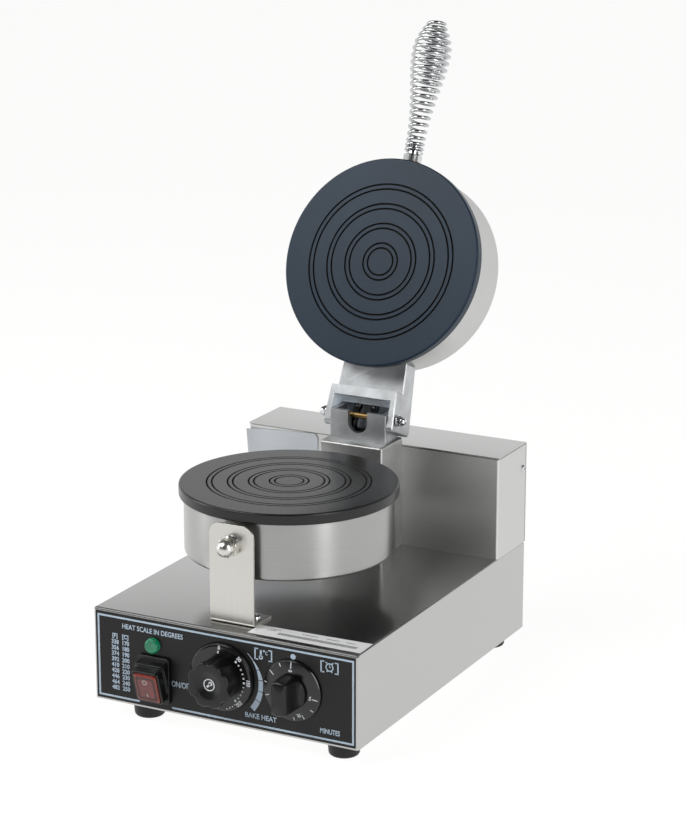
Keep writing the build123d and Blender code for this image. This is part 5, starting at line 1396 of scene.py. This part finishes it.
def room(studio):
    """A world that is dark in front and overhead and bright behind, and plain white to the camera."""
    world = bpy.context.scene.world = bpy.data.worlds.new("studio")
    tree = emptied(world)
    split = add_node(tree, "SeparateXYZ")
    link(tree, add_node(tree, "TexCoord").outputs["Generated"], split.inputs[0])
    depth = eased(tree, split.outputs["Y"], -0.75, 0.45, studio.front_tone, studio.back_tone)
    height = eased(tree, split.outputs["Z"], 0.29, 0.5, 1.0, studio.top_share)
    walls = add_node(tree, "Background")
    link(tree, combined(tree, "MULTIPLY", depth, height), walls.inputs["Strength"])
    white = add_node(tree, "Background", Color=(1.0, 1.0, 1.0, 1.0), Strength=1.0)
    mixed(tree, add_node(tree, "LightPath").outputs["Is Camera Ray"], walls, white, "OutputWorld")


def set_down(name, data, place, facing, axis):
    """An object at a place, with its own axis along a direction."""
    obj = bpy.data.objects.new(name, data)
    bpy.context.scene.collection.objects.link(obj)
    obj.matrix_world = Matrix.Translation(place) @ facing.to_track_quat(axis, "Y").to_matrix().to_4x4()
    return obj


def soft_lamp(name, place, target, size, power):
    """A square area lamp that faces a point."""
    data = bpy.data.lights.new(name, "AREA")
    data.shape = "RECTANGLE"
    data.size, data.size_y = size
    data.energy = power
    set_down(name, data, place, Vector(target) - Vector(place), "-Z")


class BAKER_OT_studio(bpy.types.Operator):
    """Sets the floor, the world, the lamps and the camera"""

    bl_idname = "baker.studio"
    bl_label = "Studio"

    def execute(self, context):
        studio = context.scene.baker_studio
        floor()
        room(studio)
        aim = (0.0, 0.0, 0.2)
        soft_lamp("key_lamp", (-1.0, -1.3, 1.9), aim, (1.3, 1.3), studio.key_power)
        soft_lamp("fill_lamp", (1.9, -0.9, 1.2), aim, (1.6, 1.6), studio.fill_power)
        for name, azimuth in (("right_strip", 64.0), ("left_strip", -69.0)):
            ahead, aside = polar(1.6, azimuth)
            soft_lamp(name, (aside, -ahead, 0.75), (0.0, -0.05, 0.3), (0.42, 1.5), studio.strip_power)

        ahead, aside = cos(studio.azimuth), sin(studio.azimuth)
        level, rise = cos(studio.elevation), sin(studio.elevation)
        back = Vector((aside * level, -ahead * level, rise))
        data = bpy.data.cameras.new("camera")
        data.lens = studio.lens
        data.sensor_width = 36.0
        data.clip_end = 60.0
        spot = Vector(studio.target) + back * studio.distance
        context.scene.camera = set_down("camera", data, spot, back, "Z")
        context.scene.view_settings.view_transform = "Standard"
        return {"FINISHED"}


STEPS = (
    BAKER_OT_finish_nodes,
    BAKER_OT_sheet_metal,
    BAKER_OT_plates,
    BAKER_OT_pans,
    BAKER_OT_handle,
    BAKER_OT_fasteners,
    BAKER_OT_leads,
    BAKER_OT_feet,
    BAKER_OT_thermostat,
    BAKER_OT_timer,
    BAKER_OT_lamp,
    BAKER_OT_switch,
    BAKER_OT_panel_print,
    BAKER_OT_plates_bare,
    BAKER_OT_gland,
    BAKER_OT_studio,
)


class BAKER_PT_sidebar(bpy.types.Panel):
    """Lists the settings and the steps"""

    bl_label = "Waffle maker"
    bl_idname = "BAKER_PT_sidebar"
    bl_space_type = "VIEW_3D"
    bl_region_type = "UI"
    bl_category = "Waffle maker"

    def draw(self, context):
        column = self.layout.column()
        for group in (context.scene.baker_sizes, context.scene.baker_colours, context.scene.baker_studio):
            for key in group.__annotations__:
                column.prop(group, key)
        for step in STEPS:
            column.operator(step.bl_idname)


SETTINGS = {"baker_colours": BakerColours, "baker_sizes": BakerSizes, "baker_studio": BakerStudio}
CLASSES = (*SETTINGS.values(), *STEPS, BAKER_PT_sidebar)


def register():
    for one in CLASSES:
        bpy.utils.register_class(one)
    for key, group in SETTINGS.items():
        setattr(bpy.types.Scene, key, PointerProperty(type=group))


def unregister():
    for key in SETTINGS:
        delattr(bpy.types.Scene, key)
    for one in reversed(CLASSES):
        bpy.utils.unregister_class(one)


def main():
    register()
    for step in STEPS:
        group, name = step.bl_idname.split(".")
        if getattr(getattr(bpy.ops, group), name)() != {"FINISHED"}:
            raise RuntimeError(step.bl_label + " didn't finish")


if __name__ == "__main__":
    main()
